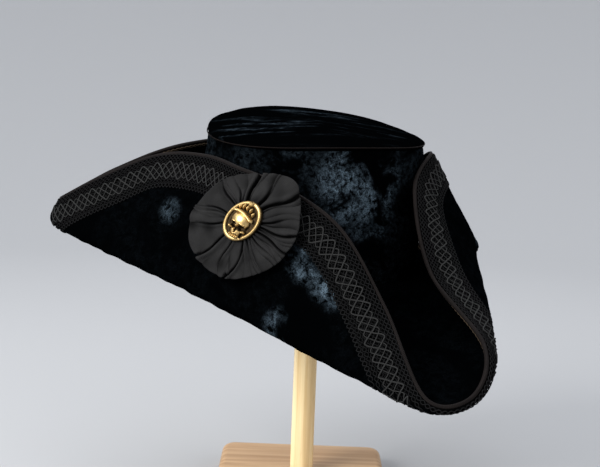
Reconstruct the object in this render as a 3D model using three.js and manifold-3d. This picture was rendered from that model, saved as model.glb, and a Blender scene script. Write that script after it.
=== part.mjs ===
// A tricorn hat of crushed velvet, resting on a plain wooden hat stand.
// Millimetres, +Z up. The origin is the middle of the stand's underside.
// The hat has a frame of its own: X to its front corner, Y to its left side, Z up the crown.

import * as THREE from 'three';
import { mergeVertices } from 'three/addons/utils/BufferGeometryUtils.js';
import Module from 'manifold-3d';

const wasm = await Module();
wasm.setup();

const DEG = Math.PI / 180;

// Pieces that touch keep this gap, and trim laid on the curved brim a wider one
const SEAM_GAP = 0.3;
const TRIM_GAP = 0.6;

// Stand
const BOARD = {
  side: 156, thickness: 20, cornerRadius: 13, topRound: 7, footBevel: 1, cornerSteps: 5, roundSteps: 4,
};
const POST = { radius: 10.5, socketDepth: 12, sides: 28 };
const CAP = {
  radius: 45, domeRise: 11, rimHeight: 9, underBevel: 3, sides: 24, domeSteps: 4, top: 340.9,
};

// Hat on the stand: the middle of the crown's base, and how the hat leans there
const HAT_SEAT = { x: -6.5, y: 0, z: 222.5 };
const HAT_TURN = { heading: 174.5, frontUp: 4.5, leftDown: 6 };

// Crown: an oval tube with a slightly warped, domed top, drawn in rings at shares of its width
const CROWN = {
  baseHalfLength: 100, baseHalfWidth: 86, topHalfLength: 94, topHalfWidth: 80.5,
  height: 119, wall: 2, frontDrop: 6, backDroop: 8, leftDrop: 4, warp: 3,
  hem: 3, topRise: 4, topFall: 1.5, topOverhang: 1, topShares: [0.45, 0.85, 1], columns: 48, rows: 4,
};

// Brim: sections from the front corner round the left side to the back, mirrored on the right.
// Angles are degrees from the front; the flap turns up from the fold, 90 being upright.
const BRIM_SECTIONS = [
  { azimuth: 0, foldRadius: 242, foldHeight: -3, flapFacing: 0, flapLength: 31, flapAngle: 119 },
  { azimuth: 10, foldRadius: 208, foldHeight: -6, flapFacing: 38, flapLength: 67, flapAngle: 115 },
  { azimuth: 24, foldRadius: 172, foldHeight: -11, flapFacing: 62, flapLength: 105, flapAngle: 119 },
  { azimuth: 42, foldRadius: 144, foldHeight: -19, flapFacing: 63.5, flapLength: 120, flapAngle: 113 },
  { azimuth: 62, foldRadius: 136, foldHeight: -26, flapFacing: 63.5, flapLength: 122, flapAngle: 105 },
  { azimuth: 82, foldRadius: 147, foldHeight: -31, flapFacing: 63.5, flapLength: 121, flapAngle: 103 },
  { azimuth: 98, foldRadius: 174, foldHeight: -37, flapFacing: 64, flapLength: 107, flapAngle: 109 },
  { azimuth: 110, foldRadius: 209, foldHeight: -43.5, flapFacing: 74, flapLength: 66, flapAngle: 120 },
  { azimuth: 119, foldRadius: 244, foldHeight: -50, flapFacing: 98, flapLength: 16, flapAngle: 120 },
  { azimuth: 127, foldRadius: 256, foldHeight: -43, flapFacing: 127, flapLength: 13, flapAngle: 115 },
  { azimuth: 136, foldRadius: 242, foldHeight: -22, flapFacing: 156, flapLength: 26, flapAngle: 138 },
  { azimuth: 148, foldRadius: 204, foldHeight: 2, flapFacing: 174, flapLength: 68, flapAngle: 156 },
  { azimuth: 163, foldRadius: 171, foldHeight: 17, flapFacing: 179, flapLength: 99, flapAngle: 137 },
  { azimuth: 180, foldRadius: 159, foldHeight: 23, flapFacing: 180, flapLength: 104, flapAngle: 122 },
];
// The right side has a slightly shorter flap, which rises again before its pulled-in back corner
const RIGHT_SIDE = {
  flapShare: 0.98, cornerIn: 7, cornerAzimuth: 127, cornerReach: 12,
  rise: 10, riseAzimuth: 108, riseReach: 10,
};
// The fold is rounded over bendReach each way, or over a share of a short flap or base.
// Seen from the trim's lower line to the crown, the bend starts and ends past least shares.
const BRIM = {
  thickness: 2.4, seamEase: 0.4, bendReach: 24, flapBendShare: 0.85, baseBendShare: 0.6,
  leastFlapShare: 0.08, leastBendShare: 0.3, columnsPerSection: 3, flapRows: 2, bendRows: 4, baseRows: 3,
};

// Trim along the brim's edge: a folded binding, and a flat braid below it on the outer face
const BINDING = { width: 5.5, thickness: 0.9, edgeRound: 0.6 };
// On steep stretches the braid's line runs at most slantLimit times deeper along a section
const BRAID = { width: 26, thickness: 1, rows: 4, slantLimit: 1.6, evening: 5 };

// Rosette of gathered ribbon on the left flap, at a brim column and this far from the edge,
// turned a little and moved on to the back. Its middle is flat where the badge is sewn on.
const COCKADE = {
  halfWidth: 53, halfHeight: 46, pleats: 14, stepsPerPleat: 4, notch: 1.2,
  middleThickness: 8, rimThickness: 4, pleatDepth: 1.6, backRise: 1, backShare: 0.97,
  middleShare: 0.5, skirtSwell: 1, column: 13, fromEdge: 43, lift: 4.8, turnBack: 5,
  movedBack: 6.5,
};
// Cast badge: an oval plate with a raised ring, and a crowned skull in relief. It sits on the
// rosette a little above and behind the middle.
const BADGE = {
  halfLength: 19.5, halfWidth: 14.5, plate: 1.6, ringRadius: 1.7, ringSides: 6, sides: 28, tilt: -48,
  behind: 3, above: 4.8,
};
// The relief is squashed balls: half sizes, then the centre, above being over the plate
const RELIEF = [
  { form: 'cranium', wide: 8, tall: 8, deep: 5.5, across: 0, up: 0.6, above: 1.6, sides: 14 },
  { form: 'cheeks', wide: 6.2, tall: 4.3, deep: 4.6, across: 0, up: -5.2, above: 1.6, sides: 12 },
  { form: 'teeth', wide: 4.2, tall: 2.6, deep: 3.2, across: 0, up: -9.3, above: 1.2, sides: 10 },
  { form: 'crown band', wide: 8.2, tall: 1.6, deep: 5.5, across: 0, up: 7.1, above: 1.6, sides: 10 },
  { form: 'left point', wide: 2, tall: 2.4, deep: 1.9, across: -5.4, up: 9.5, above: 1.4, sides: 6 },
  { form: 'middle point', wide: 2.2, tall: 3, deep: 2.1, across: 0, up: 10.4, above: 3, sides: 6 },
  { form: 'right point', wide: 2, tall: 2.4, deep: 1.9, across: 5.4, up: 9.5, above: 1.4, sides: 6 },
];
const HOLLOWS = [
  { form: 'left socket', wide: 2.4, tall: 2.2, deep: 2.4, across: -3.1, up: -2.8, above: 6.4, sides: 8 },
  { form: 'right socket', wide: 2.4, tall: 2.2, deep: 2.4, across: 3.1, up: -2.8, above: 6.4, sides: 8 },
  { form: 'nose', wide: 1.1, tall: 1.5, deep: 1.3, across: 0, up: -6, above: 6.1, sides: 6 },
];

const material = (color, roughness, metalness = 0) =>
  new THREE.MeshStandardMaterial({ color, roughness, metalness });

const VELVET = material(0x101418, 0.8);
const BINDING_CLOTH = material(0x4a4442, 0.7);
const BRAID_CLOTH = material(0x4c4a4c, 0.8);
const RIBBON = material(0x3d3b3e, 0.85);
const BRASS = material(0x9b7a4a, 0.45, 1);
const PINE = material(0xd9c08c, 0.6);
const BOARD_WOOD = material(0xb98a5a, 0.6);

// A grid of points as a closed skin: every row is a closed ring, and the rows close on
// themselves (a tube bent into a loop) or end in a flat or domed cap round a middle point.
// splitsBack says which four-sided facets are split along their other diagonal.
function skin(rings, { loop = false, splitsBack = () => false } = {}) {
  const around = rings[0].length;
  const points = rings.flat();
  const faces = [];
  const rowPairs = loop ? rings.length : rings.length - 1;
  for (let row = 0; row < rowPairs; row += 1) {
    const next = (row + 1) % rings.length;
    for (let column = 0; column < around; column += 1) {
      const right = (column + 1) % around;
      const a = row * around + column;
      const b = row * around + right;
      const c = next * around + right;
      const d = next * around + column;
      faces.push(...(splitsBack(row, column) ? [a, b, d, b, c, d] : [a, b, c, a, c, d]));
    }
  }
  if (!loop) {
    capRing(points, faces, rings[0], 0, true);
    capRing(points, faces, rings.at(-1), (rings.length - 1) * around, false);
  }
  return facingOut(points, faces);
}

function capRing(points, faces, ring, first, reversed) {
  const middle = new THREE.Vector3();
  ring.forEach((point) => middle.add(point));
  middle.divideScalar(ring.length);
  const centre = points.push(middle) - 1;
  for (let column = 0; column < ring.length; column += 1) {
    const a = first + column;
    const b = first + ((column + 1) % ring.length);
    faces.push(...(reversed ? [b, a, centre] : [a, b, centre]));
  }
}

// An indexed geometry, turned inside out where its signed volume is negative
function facingOut(points, faces) {
  let volume = 0;
  for (let face = 0; face < faces.length; face += 3) {
    const [a, b, c] = faces.slice(face, face + 3).map((index) => points[index]);
    volume += a.dot(new THREE.Vector3().crossVectors(b, c));
  }
  const geometry = new THREE.BufferGeometry().setFromPoints(points);
  geometry.setIndex(volume < 0 ? [...faces].reverse() : faces);
  return geometry;
}

// three.js geometry to a solid and back, for joining and cutting
function solidOf(geometry) {
  const bare = geometry.clone();
  bare.deleteAttribute('normal');
  bare.deleteAttribute('uv');
  const merged = mergeVertices(bare, 1e-4);
  return new wasm.Manifold(new wasm.Mesh({
    numProp: 3,
    vertProperties: new Float32Array(merged.attributes.position.array),
    triVerts: new Uint32Array(merged.index.array),
  }));
}

function geometryOf(solid) {
  const mesh = solid.getMesh();
  const geometry = new THREE.BufferGeometry();
  geometry.setAttribute('position', new THREE.Float32BufferAttribute(mesh.vertProperties, 3));
  geometry.setIndex(Array.from(mesh.triVerts));
  return geometry;
}

function named(name, geometry, cloth) {
  const mesh = new THREE.Mesh(geometry, cloth);
  mesh.name = name;
  return mesh;
}

// A lathe profile of [radius, height] pairs, turned about Z
function turned(profile, sides) {
  const points = profile.map(([radius, height]) => new THREE.Vector2(radius, height));
  const lathe = new THREE.LatheGeometry(points, sides);
  lathe.rotateX(Math.PI / 2);
  return geometryOf(solidOf(lathe));
}

// Stand

function roundedSquare(side, radius, height) {
  const ring = [];
  const { cornerSteps } = BOARD;
  const centre = side / 2 - radius;
  for (let corner = 0; corner < 4; corner += 1) {
    for (let step = 0; step <= cornerSteps; step += 1) {
      const angle = (corner + step / cornerSteps) * 90 * DEG;
      const middle = new THREE.Vector2(centre, centre);
      middle.rotateAround(new THREE.Vector2(), corner * 90 * DEG);
      ring.push(new THREE.Vector3(
        middle.x + radius * Math.cos(angle),
        middle.y + radius * Math.sin(angle),
        height,
      ));
    }
  }
  return ring;
}

function standBase() {
  const { side, thickness, cornerRadius, topRound, footBevel, roundSteps } = BOARD;
  const rings = [
    roundedSquare(side - 2 * footBevel, cornerRadius - footBevel, 0),
    roundedSquare(side, cornerRadius, footBevel),
  ];
  for (let step = 0; step <= roundSteps; step += 1) {
    const angle = (step / roundSteps) * 90 * DEG;
    const inset = topRound * (1 - Math.cos(angle));
    const height = thickness - topRound * (1 - Math.sin(angle));
    rings.push(roundedSquare(side - 2 * inset, cornerRadius - inset, height));
  }
  const socket = new THREE.CylinderGeometry(
    POST.radius + SEAM_GAP, POST.radius + SEAM_GAP, 2 * POST.socketDepth, POST.sides,
  );
  socket.rotateX(Math.PI / 2);
  socket.translate(0, 0, thickness);
  return named('stand_base', geometryOf(solidOf(skin(rings)).subtract(solidOf(socket))), BOARD_WOOD);
}

function standPost() {
  const bottom = BOARD.thickness - POST.socketDepth + SEAM_GAP;
  const top = CAP.top - CAP.domeRise - CAP.rimHeight + POST.socketDepth - SEAM_GAP;
  const post = new THREE.CylinderGeometry(POST.radius, POST.radius, top - bottom, POST.sides);
  post.rotateX(Math.PI / 2);
  post.translate(0, 0, (top + bottom) / 2);
  return named('stand_post', post, PINE);
}

// The cap that carries the crown: a low dome on a short rim, bored for the post
function standCap() {
  const { radius, domeRise, rimHeight, underBevel, top, sides, domeSteps } = CAP;
  const rim = top - domeRise;
  const under = rim - rimHeight;
  const bore = POST.radius + SEAM_GAP;
  const profile = [
    [0, under + POST.socketDepth], [bore, under + POST.socketDepth], [bore, under],
    [radius - underBevel, under], [radius, under + underBevel],
  ];
  for (let step = 0; step < domeSteps; step += 1) {
    const angle = (step / domeSteps) * 90 * DEG;
    profile.push([radius * Math.cos(angle), rim + domeRise * Math.sin(angle)]);
  }
  profile.push([0, top]);
  return named('stand_cap', turned(profile, sides), PINE);
}

// Crown

const crownBase = (angle, grow = 0) => new THREE.Vector3(
  (CROWN.baseHalfLength + grow) * Math.cos(angle),
  (CROWN.baseHalfWidth + grow) * Math.sin(angle),
  0,
);

// The seam round the crown's top, a little warped as soft felt is
function crownRim(angle, grow = 0) {
  const { topHalfLength, topHalfWidth, height, frontDrop, backDroop, leftDrop, warp } = CROWN;
  const back = Math.max(0, -Math.cos(angle));
  return new THREE.Vector3(
    (topHalfLength + grow) * Math.cos(angle),
    (topHalfWidth + grow) * Math.sin(angle),
    height - frontDrop * Math.cos(angle) - backDroop * back ** 2
      - leftDrop * Math.sin(angle) - warp * Math.sin(2 * angle),
  );
}

function crownSide() {
  const { columns, rows, wall, hem } = CROWN;
  const rings = [];
  for (const [grow, direction] of [[0, 1], [-wall, -1]]) {
    for (let row = 0; row < rows; row += 1) {
      const share = (direction > 0 ? row : rows - 1 - row) / (rows - 1);
      const ring = [];
      for (let column = 0; column < columns; column += 1) {
        const angle = (column / columns) * 360 * DEG;
        const low = crownBase(angle, grow).setZ(-hem);
        const high = crownRim(angle, grow);
        high.z -= CROWN.wall + SEAM_GAP;
        ring.push(low.lerp(high, share));
      }
      rings.push(ring);
    }
  }
  return named('crown_side', skin(rings, { loop: true }), VELVET);
}

function crownTop() {
  const { columns, wall, topOverhang, topRise, topFall, topShares } = CROWN;
  const ringAt = (share, drop) => {
    const ring = [];
    for (let column = 0; column < columns; column += 1) {
      const angle = (column / columns) * 360 * DEG;
      const rim = crownRim(angle, topOverhang);
      const height = THREE.MathUtils.lerp(CROWN.height, rim.z, share ** topFall);
      rim.multiplyScalar(share).setZ(height + topRise * (1 - share ** 2) - drop);
      ring.push(rim);
    }
    return ring;
  };
  const under = topShares.map((share) => ringAt(share, wall));
  const over = topShares.map((share) => ringAt(share, 0)).reverse();
  return named('crown_top', skin([...under, ...over]), VELVET);
}

// Brim

// The right side's own version of a section of the left side
function onRight(section) {
  const { azimuth, foldRadius, flapLength } = section;
  const { flapShare, cornerIn, cornerAzimuth, cornerReach, rise, riseAzimuth, riseReach } = RIGHT_SIDE;
  const swell = (middle, reach) => Math.exp(-(((azimuth - middle) / reach) ** 2));
  return {
    ...section,
    side: -1,
    foldRadius: foldRadius - cornerIn * swell(cornerAzimuth, cornerReach),
    flapLength: flapLength * flapShare + rise * swell(riseAzimuth, riseReach),
  };
}

// Three smooth loops that carry every section: crown seam, fold and edge
function brimLoops() {
  const crown = [];
  const fold = [];
  const edge = [];
  const left = BRIM_SECTIONS.map((section) => ({ ...section, side: 1 }));
  const right = BRIM_SECTIONS.slice(1, -1).reverse().map(onRight);
  for (const section of [...left, ...right]) {
    const { foldRadius, foldHeight, flapLength, side } = section;
    const angle = side * section.azimuth * DEG;
    const facing = side * section.flapFacing * DEG;
    const lean = section.flapAngle * DEG;
    const foldPoint = new THREE.Vector3(
      foldRadius * Math.cos(angle), foldRadius * Math.sin(angle), foldHeight,
    );
    const alongFlap = new THREE.Vector3(
      Math.cos(lean) * Math.cos(facing), Math.cos(lean) * Math.sin(facing), Math.sin(lean),
    );
    const ovalLength = CROWN.baseHalfLength + BRIM.seamEase;
    const ovalWidth = CROWN.baseHalfWidth + BRIM.seamEase;
    const seamRadius = 1 / Math.hypot(Math.cos(angle) / ovalLength, Math.sin(angle) / ovalWidth);
    crown.push(new THREE.Vector3(seamRadius * Math.cos(angle), seamRadius * Math.sin(angle), 0));
    fold.push(foldPoint);
    edge.push(foldPoint.clone().addScaledVector(alongFlap, flapLength));
  }
  return [crown, fold, edge].map((points) => new THREE.CatmullRomCurve3(points, true, 'catmullrom', 0.5));
}

// One section as a path from the edge, round the fold, to the crown seam
function sectionPath(crown, fold, edge) {
  const towards = (end, share) => {
    const reach = Math.min(share * end.distanceTo(fold), BRIM.bendReach);
    return fold.clone().addScaledVector(end.clone().sub(fold).normalize(), reach);
  };
  const bendEnd = towards(crown, BRIM.baseBendShare);
  const bendStart = towards(edge, BRIM.flapBendShare);
  const path = new THREE.CurvePath();
  path.add(new THREE.LineCurve3(edge, bendStart));
  path.add(new THREE.QuadraticBezierCurve3(bendStart, fold, bendEnd));
  path.add(new THREE.LineCurve3(bendEnd, crown));
  return path;
}

function distanceToLoop(point, loop) {
  const nearest = new THREE.Vector3();
  const chord = new THREE.Line3();
  let least = Infinity;
  loop.forEach((start, index) => {
    chord.set(start, loop[(index + 1) % loop.length]).closestPointToPoint(point, true, nearest);
    least = Math.min(least, nearest.distanceTo(point));
  });
  return least;
}

// How far along each section, from the edge, a line at this depth from the edge is crossed.
// The depth is measured square to the edge, and the line is evened out round the loop.
function arcsAtDepth(depth, samples, edge) {
  const arcs = samples.map((section) => {
    const after = section.findIndex((sample) => distanceToLoop(sample, edge) >= depth);
    return Math.min(after < 0 ? Infinity : after, BRAID.slantLimit * depth);
  });
  return evened(arcs, BRAID.evening);
}

function evened(values, passes) {
  let result = values;
  for (let pass = 0; pass < passes; pass += 1) {
    const last = result;
    result = last.map((value, index) =>
      (last.at(index - 1) + 2 * value + last[(index + 1) % last.length]) / 4);
  }
  return result;
}

// Middle surface of the brim as rows of points: the first rows follow the edge at the trim's
// widths, the next reach the bend, go round it, and end at the crown seam.
function brimRows() {
  const [crownLoop, foldLoop, edgeLoop] = brimLoops();
  const columns = crownLoop.points.length * BRIM.columnsPerSection;
  const places = Array.from({ length: columns }, (_, column) => column / columns);
  const edge = places.map((place) => edgeLoop.getPoint(place));
  const paths = places.map((place, column) =>
    sectionPath(crownLoop.getPoint(place), foldLoop.getPoint(place), edge[column]));
  const samples = paths.map((path) => path.getSpacedPoints(Math.round(path.getLength())));
  const depths = [BINDING.width];
  for (let row = 1; row <= BRAID.rows; row += 1) {
    depths.push(BINDING.width + (BRAID.width * row) / BRAID.rows);
  }
  const trimArcs = depths.map((depth) => arcsAtDepth(depth, samples, edge));
  const sections = paths.map((path, column) => {
    const total = path.getLength();
    const [flap, bend] = path.curves.map((curve) => curve.getLength());
    const trim = trimArcs.map((arcs) => arcs[column]);
    const trimEnd = trim.at(-1);
    const bendStart = Math.max(flap, THREE.MathUtils.lerp(trimEnd, total, BRIM.leastFlapShare));
    const bendEnd = Math.max(flap + bend, THREE.MathUtils.lerp(bendStart, total, BRIM.leastBendShare));
    const arcs = [
      0, ...trim,
      ...stretch(trimEnd, bendStart, BRIM.flapRows),
      ...stretch(bendStart, bendEnd, BRIM.bendRows),
      ...stretch(bendEnd, total, BRIM.baseRows),
    ];
    return arcs.map((arc) => path.getPointAt(Math.min(1, arc / total)));
  });
  return sections[0].map((_, row) => sections.map((section) => section[row]));
}

// Evenly spread values after the first, up to the last
function stretch(first, last, count) {
  return Array.from({ length: count }, (_, index) =>
    THREE.MathUtils.lerp(first, last, (index + 1) / count));
}

// Directions square to the middle surface, pointing to the face that is turned out
function facingsOf(rows) {
  return rows.map((ring, row) => ring.map((point, column) => {
    if (row === rows.length - 1) return new THREE.Vector3(0, 0, -1);
    const around = ring[(column + 1) % ring.length].clone()
      .sub(ring.at(column - 1));
    const up = rows[Math.max(0, row - 1)][column].clone()
      .sub(rows[row + 1][column]);
    return around.cross(up).normalize();
  }));
}

// Which diagonal of each facet lies along the fold: the outer one where the face bulges
function foldDiagonals(rows, facings) {
  return rows.slice(0, -1).map((ring, row) => ring.map((point, column) => {
    const right = (column + 1) % ring.length;
    const across = rows[row + 1];
    const facing = facings[row][column].clone().add(facings[row + 1][right]);
    const forward = point.clone().add(across[right]);
    const back = ring[right].clone().add(across[column]);
    const turn = facings[row][column].clone().sub(facings[row + 1][column]);
    const bulges = turn.dot(point.clone().sub(across[column])) > 0;
    return (forward.sub(back).dot(facing) > 0) === bulges;
  }));
}

const MIDDLE = brimRows();
const FACING = facingsOf(MIDDLE);
const FORWARD = foldDiagonals(MIDDLE, FACING);
const HALF = BRIM.thickness / 2;

// A point of the brim's surface, raised off its middle; a row may lie between two rows
function onBrim(row, column, raise) {
  const low = Math.max(0, Math.min(Math.floor(row), MIDDLE.length - 2));
  const part = row - low;
  const at = (index) => MIDDLE[index][column].clone().addScaledVector(FACING[index][column], raise);
  return at(low).lerp(at(low + 1), part);
}

// A closed ring of [row, raise] pairs swept along the brim's edge
function sweptAlongBrim(section) {
  const columns = MIDDLE[0].length;
  const rings = section.map(([row, raise]) =>
    Array.from({ length: columns }, (_, column) => onBrim(row, column, raise)));
  const splitsBack = (index, column) => {
    const [from] = section[index];
    const [to] = section[(index + 1) % section.length];
    const row = Math.max(0, Math.floor(Math.min(from, to)));
    return row < FORWARD.length && FORWARD[row][column] !== (to > from);
  };
  return skin(rings, { loop: true, splitsBack });
}

function brim() {
  const rows = MIDDLE.map((_, row) => row);
  const section = [
    ...rows.map((row) => [row, HALF]),
    ...rows.reverse().map((row) => [row, -HALF]),
  ];
  return named('brim', sweptAlongBrim(section), VELVET);
}

// Folded over the edge like a U; rows below 0 lie past the edge
function brimBinding() {
  const inner = HALF + TRIM_GAP;
  const outer = inner + BINDING.thickness;
  const past = TRIM_GAP / BINDING.width;
  const pastOuter = (TRIM_GAP + BINDING.thickness) / BINDING.width;
  const turn = inner * BINDING.edgeRound;
  const section = [
    [1, outer], [0, outer], [-pastOuter, turn], [-pastOuter, -turn], [0, -outer], [1, -outer],
    [1, -inner], [-past, -inner], [-past, inner], [1, inner],
  ];
  return named('brim_binding', sweptAlongBrim(section), BINDING_CLOTH);
}

function braidTrim() {
  const under = HALF + TRIM_GAP;
  const over = under + BRAID.thickness;
  const rows = [1 + SEAM_GAP / (BRAID.width / BRAID.rows)];
  for (let row = 1; row <= BRAID.rows; row += 1) {
    rows.push(1 + row);
  }
  const section = [
    ...rows.map((row) => [row, under]),
    ...rows.reverse().map((row) => [row, over]),
  ];
  return named('braid_trim', sweptAlongBrim(section), BRAID_CLOTH);
}

// Rosette and badge

// Walks down a brim column from the edge and returns the outer face's point and directions
function placeOnFlap(column, fromEdge, raise) {
  const points = MIDDLE.map((ring) => ring[column]);
  let row = 0;
  let walked = 0;
  while (walked + points[row].distanceTo(points[row + 1]) < fromEdge) {
    walked += points[row].distanceTo(points[row + 1]);
    row += 1;
  }
  const part = (fromEdge - walked) / points[row].distanceTo(points[row + 1]);
  const out = FACING[row][column].clone().lerp(FACING[row + 1][column], part).normalize();
  const up = points[row].clone().sub(points[row + 1]);
  up.addScaledVector(out, -up.dot(out)).normalize();
  const middle = points[row].clone().lerp(points[row + 1], part).addScaledVector(out, raise);
  return { middle, out, up };
}

// Gathered ribbon: a flat middle, and a skirt whose thickness waves once for every pleat
function cockade() {
  const { halfWidth, halfHeight, pleats, stepsPerPleat, notch, middleThickness } = COCKADE;
  const { rimThickness, pleatDepth, backRise, backShare, middleShare, skirtSwell } = COCKADE;
  const count = pleats * stepsPerPleat;
  const ringAt = (share, height, wave) => Array.from({ length: count }, (_, step) => {
    const angle = (step / count) * 360 * DEG;
    const crest = Math.cos(pleats * angle);
    const reach = share - (share === 1 ? (notch / halfWidth) * (1 - crest) / 2 : 0);
    return new THREE.Vector3(
      halfWidth * reach * Math.cos(angle),
      halfHeight * reach * Math.sin(angle),
      height + wave * crest,
    );
  });
  const middleOfSkirt = (1 + middleShare) / 2;
  const skirtHeight = (middleThickness + rimThickness) / 2 + skirtSwell;
  const rings = [
    ringAt(backShare, 0, 0),
    ringAt(1, backRise, 0),
    ringAt(1, rimThickness, pleatDepth),
    ringAt(middleOfSkirt, skirtHeight, pleatDepth),
    ringAt(middleShare, middleThickness, 0),
  ];
  return named('cockade', skin(rings), RIBBON);
}

// The balls of a relief table as one solid, over a plate whose top is at this height
function balls(table, deck) {
  const solids = table.map(({ wide, tall, deep, across, up, above, sides }) => {
    const sphere = new THREE.SphereGeometry(1, sides, Math.ceil(sides / 2));
    sphere.scale(wide, tall, deep);
    sphere.translate(across, up, deck + above);
    return solidOf(sphere);
  });
  return solids.reduce((whole, one) => whole.add(one));
}

// The relief stands on the plate, its own up direction along +Y
function skullRelief(deck) {
  const { halfLength, plate } = BADGE;
  const below = new THREE.BoxGeometry(2 * halfLength, 2 * halfLength, halfLength);
  below.translate(0, 0, deck - plate / 2 - halfLength / 2);
  return balls(RELIEF, deck).subtract(balls(HOLLOWS, deck)).subtract(solidOf(below));
}

function badge() {
  const { halfLength, halfWidth, plate, ringRadius, ringSides, sides } = BADGE;
  const back = new THREE.CylinderGeometry(1, 1, plate, sides);
  back.rotateX(Math.PI / 2);
  back.scale(halfWidth - ringRadius, halfLength - ringRadius, 1);
  back.translate(0, 0, plate / 2);
  const ring = new THREE.TorusGeometry(2, 1, ringSides, sides);
  const positions = ring.attributes.position;
  for (let index = 0; index < positions.count; index += 1) {
    const point = new THREE.Vector3().fromBufferAttribute(positions, index);
    const around = Math.atan2(point.y, point.x);
    const out = (Math.hypot(point.x, point.y) - 2) * ringRadius;
    positions.setXYZ(
      index,
      (halfWidth - ringRadius + out) * Math.cos(around),
      (halfLength - ringRadius + out) * Math.sin(around),
      ringRadius * (1 + point.z),
    );
  }
  const body = solidOf(back).add(solidOf(ring)).add(skullRelief(plate));
  return named('badge', geometryOf(body), BRASS);
}

function rosetteOnFlap() {
  const { middle, out, up } = placeOnFlap(COCKADE.column, COCKADE.fromEdge, COCKADE.lift);
  const rosette = new THREE.Group();
  rosette.position.copy(middle);
  rosette.setRotationFromMatrix(new THREE.Matrix4().makeBasis(up.clone().cross(out), up, out));
  rosette.rotateY(COCKADE.turnBack * DEG);
  rosette.translateX(COCKADE.movedBack);
  const emblem = badge();
  emblem.position.set(BADGE.behind, BADGE.above, COCKADE.middleThickness + SEAM_GAP);
  emblem.rotation.z = BADGE.tilt * DEG;
  rosette.add(cockade(), emblem);
  return rosette;
}

const hat = new THREE.Group();
hat.position.set(HAT_SEAT.x, HAT_SEAT.y, HAT_SEAT.z);
hat.rotation.set(-HAT_TURN.leftDown * DEG, -HAT_TURN.frontUp * DEG, HAT_TURN.heading * DEG, 'ZYX');
hat.add(crownSide(), crownTop(), brim(), brimBinding(), braidTrim(), rosetteOnFlap());

const group = new THREE.Group();
group.add(standBase(), standPost(), standCap(), hat);

export default group;
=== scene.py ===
"""A crushed-velvet tricorn hat on a plain wooden stand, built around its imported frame.

Metres, +Z up. The origin is the middle of the stand's underside. Shapes are worked out in
millimetres and turned to metres when they become meshes. The hat has a frame of its own: X to its
front corner, Y to its left side, Z up the crown; to_world() sets it on the stand.
"""

from collections import namedtuple

import bpy
import numpy as np
from bpy.props import FloatProperty, FloatVectorProperty, PointerProperty
from mathutils import Euler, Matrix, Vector


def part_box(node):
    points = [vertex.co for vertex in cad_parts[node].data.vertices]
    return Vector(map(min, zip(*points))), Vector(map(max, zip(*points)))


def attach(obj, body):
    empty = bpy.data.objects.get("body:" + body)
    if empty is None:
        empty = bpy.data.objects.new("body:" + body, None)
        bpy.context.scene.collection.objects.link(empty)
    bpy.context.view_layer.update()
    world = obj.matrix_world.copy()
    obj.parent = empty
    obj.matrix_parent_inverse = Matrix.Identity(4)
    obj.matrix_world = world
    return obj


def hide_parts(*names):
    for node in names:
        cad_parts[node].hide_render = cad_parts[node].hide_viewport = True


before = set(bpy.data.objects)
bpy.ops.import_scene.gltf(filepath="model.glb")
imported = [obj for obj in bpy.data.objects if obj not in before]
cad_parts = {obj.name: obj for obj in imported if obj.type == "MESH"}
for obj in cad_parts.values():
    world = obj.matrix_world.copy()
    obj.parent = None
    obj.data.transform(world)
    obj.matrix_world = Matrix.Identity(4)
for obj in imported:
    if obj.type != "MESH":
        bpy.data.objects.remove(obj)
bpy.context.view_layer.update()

bl_info = {
    "name": "Tricorn hat on a stand",
    "version": (1, 0, 0),
    "blender": (4, 5, 0),
    "location": "View3D > Sidebar > Tricorn",
    "description": "Builds a velvet tricorn hat with its trim, rosette and badge on a wooden stand",
    "category": "Add Mesh",
}

MM = 0.001

# How the hat lies on its stand: the middle of the crown's base, and the lean, in degrees
SEAT = np.array([-6.5, 0.0, 222.5])
HEADING, FRONT_UP, LEFT_DOWN = 174.5, 4.5, 6.0

# Brim sections from the front corner round the left side to the back, mirrored on the right.
# Angles in degrees from the front; the flap turns up from the fold, 90 being upright.
Section = namedtuple("Section", "azimuth fold_radius fold_height facing flap_length flap_angle")
BRIM_SECTIONS = [
    Section(0, 242, -3, 0, 31, 119),
    Section(10, 208, -6, 38, 67, 115),
    Section(24, 172, -11, 62, 105, 119),
    Section(42, 144, -19, 63.5, 120, 113),
    Section(62, 136, -26, 63.5, 122, 105),
    Section(82, 147, -31, 63.5, 121, 103),
    Section(98, 174, -37, 64, 107, 109),
    Section(110, 209, -43.5, 74, 66, 120),
    Section(119, 244, -50, 98, 16, 120),
    Section(127, 256, -43, 127, 13, 115),
    Section(136, 242, -22, 156, 26, 138),
    Section(148, 204, 2, 174, 68, 156),
    Section(163, 171, 17, 179, 99, 137),
    Section(180, 159, 23, 180, 102, 124),
]
# The right side has a slightly shorter flap, which rises again before its pulled-in back corner
RIGHT_FLAP = 0.98
CORNER_IN, CORNER_AZIMUTH, CORNER_REACH = 7.0, 127.0, 12.0
RISE, RISE_AZIMUTH, RISE_REACH = 10.0, 108.0, 10.0
SEAM_OVAL = (99.2, 85.2)
BEND_REACH, FLAP_BEND_SHARE, BASE_BEND_SHARE = 24.0, 0.85, 0.6

# Crown oval at the base and at the top, and its slightly warped rim
BASE_OVAL, TOP_OVAL = (100.0, 86.0), (94.0, 80.5)
CROWN_HEIGHT, FRONT_DROP, BACK_DROOP, LEFT_DROP, WARP = 119.0, 6.0, 8.0, 4.0, 3.0
CROWN_HEM, TOP_RISE, TOP_FALL = 3.0, 4.0, 1.5
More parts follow.
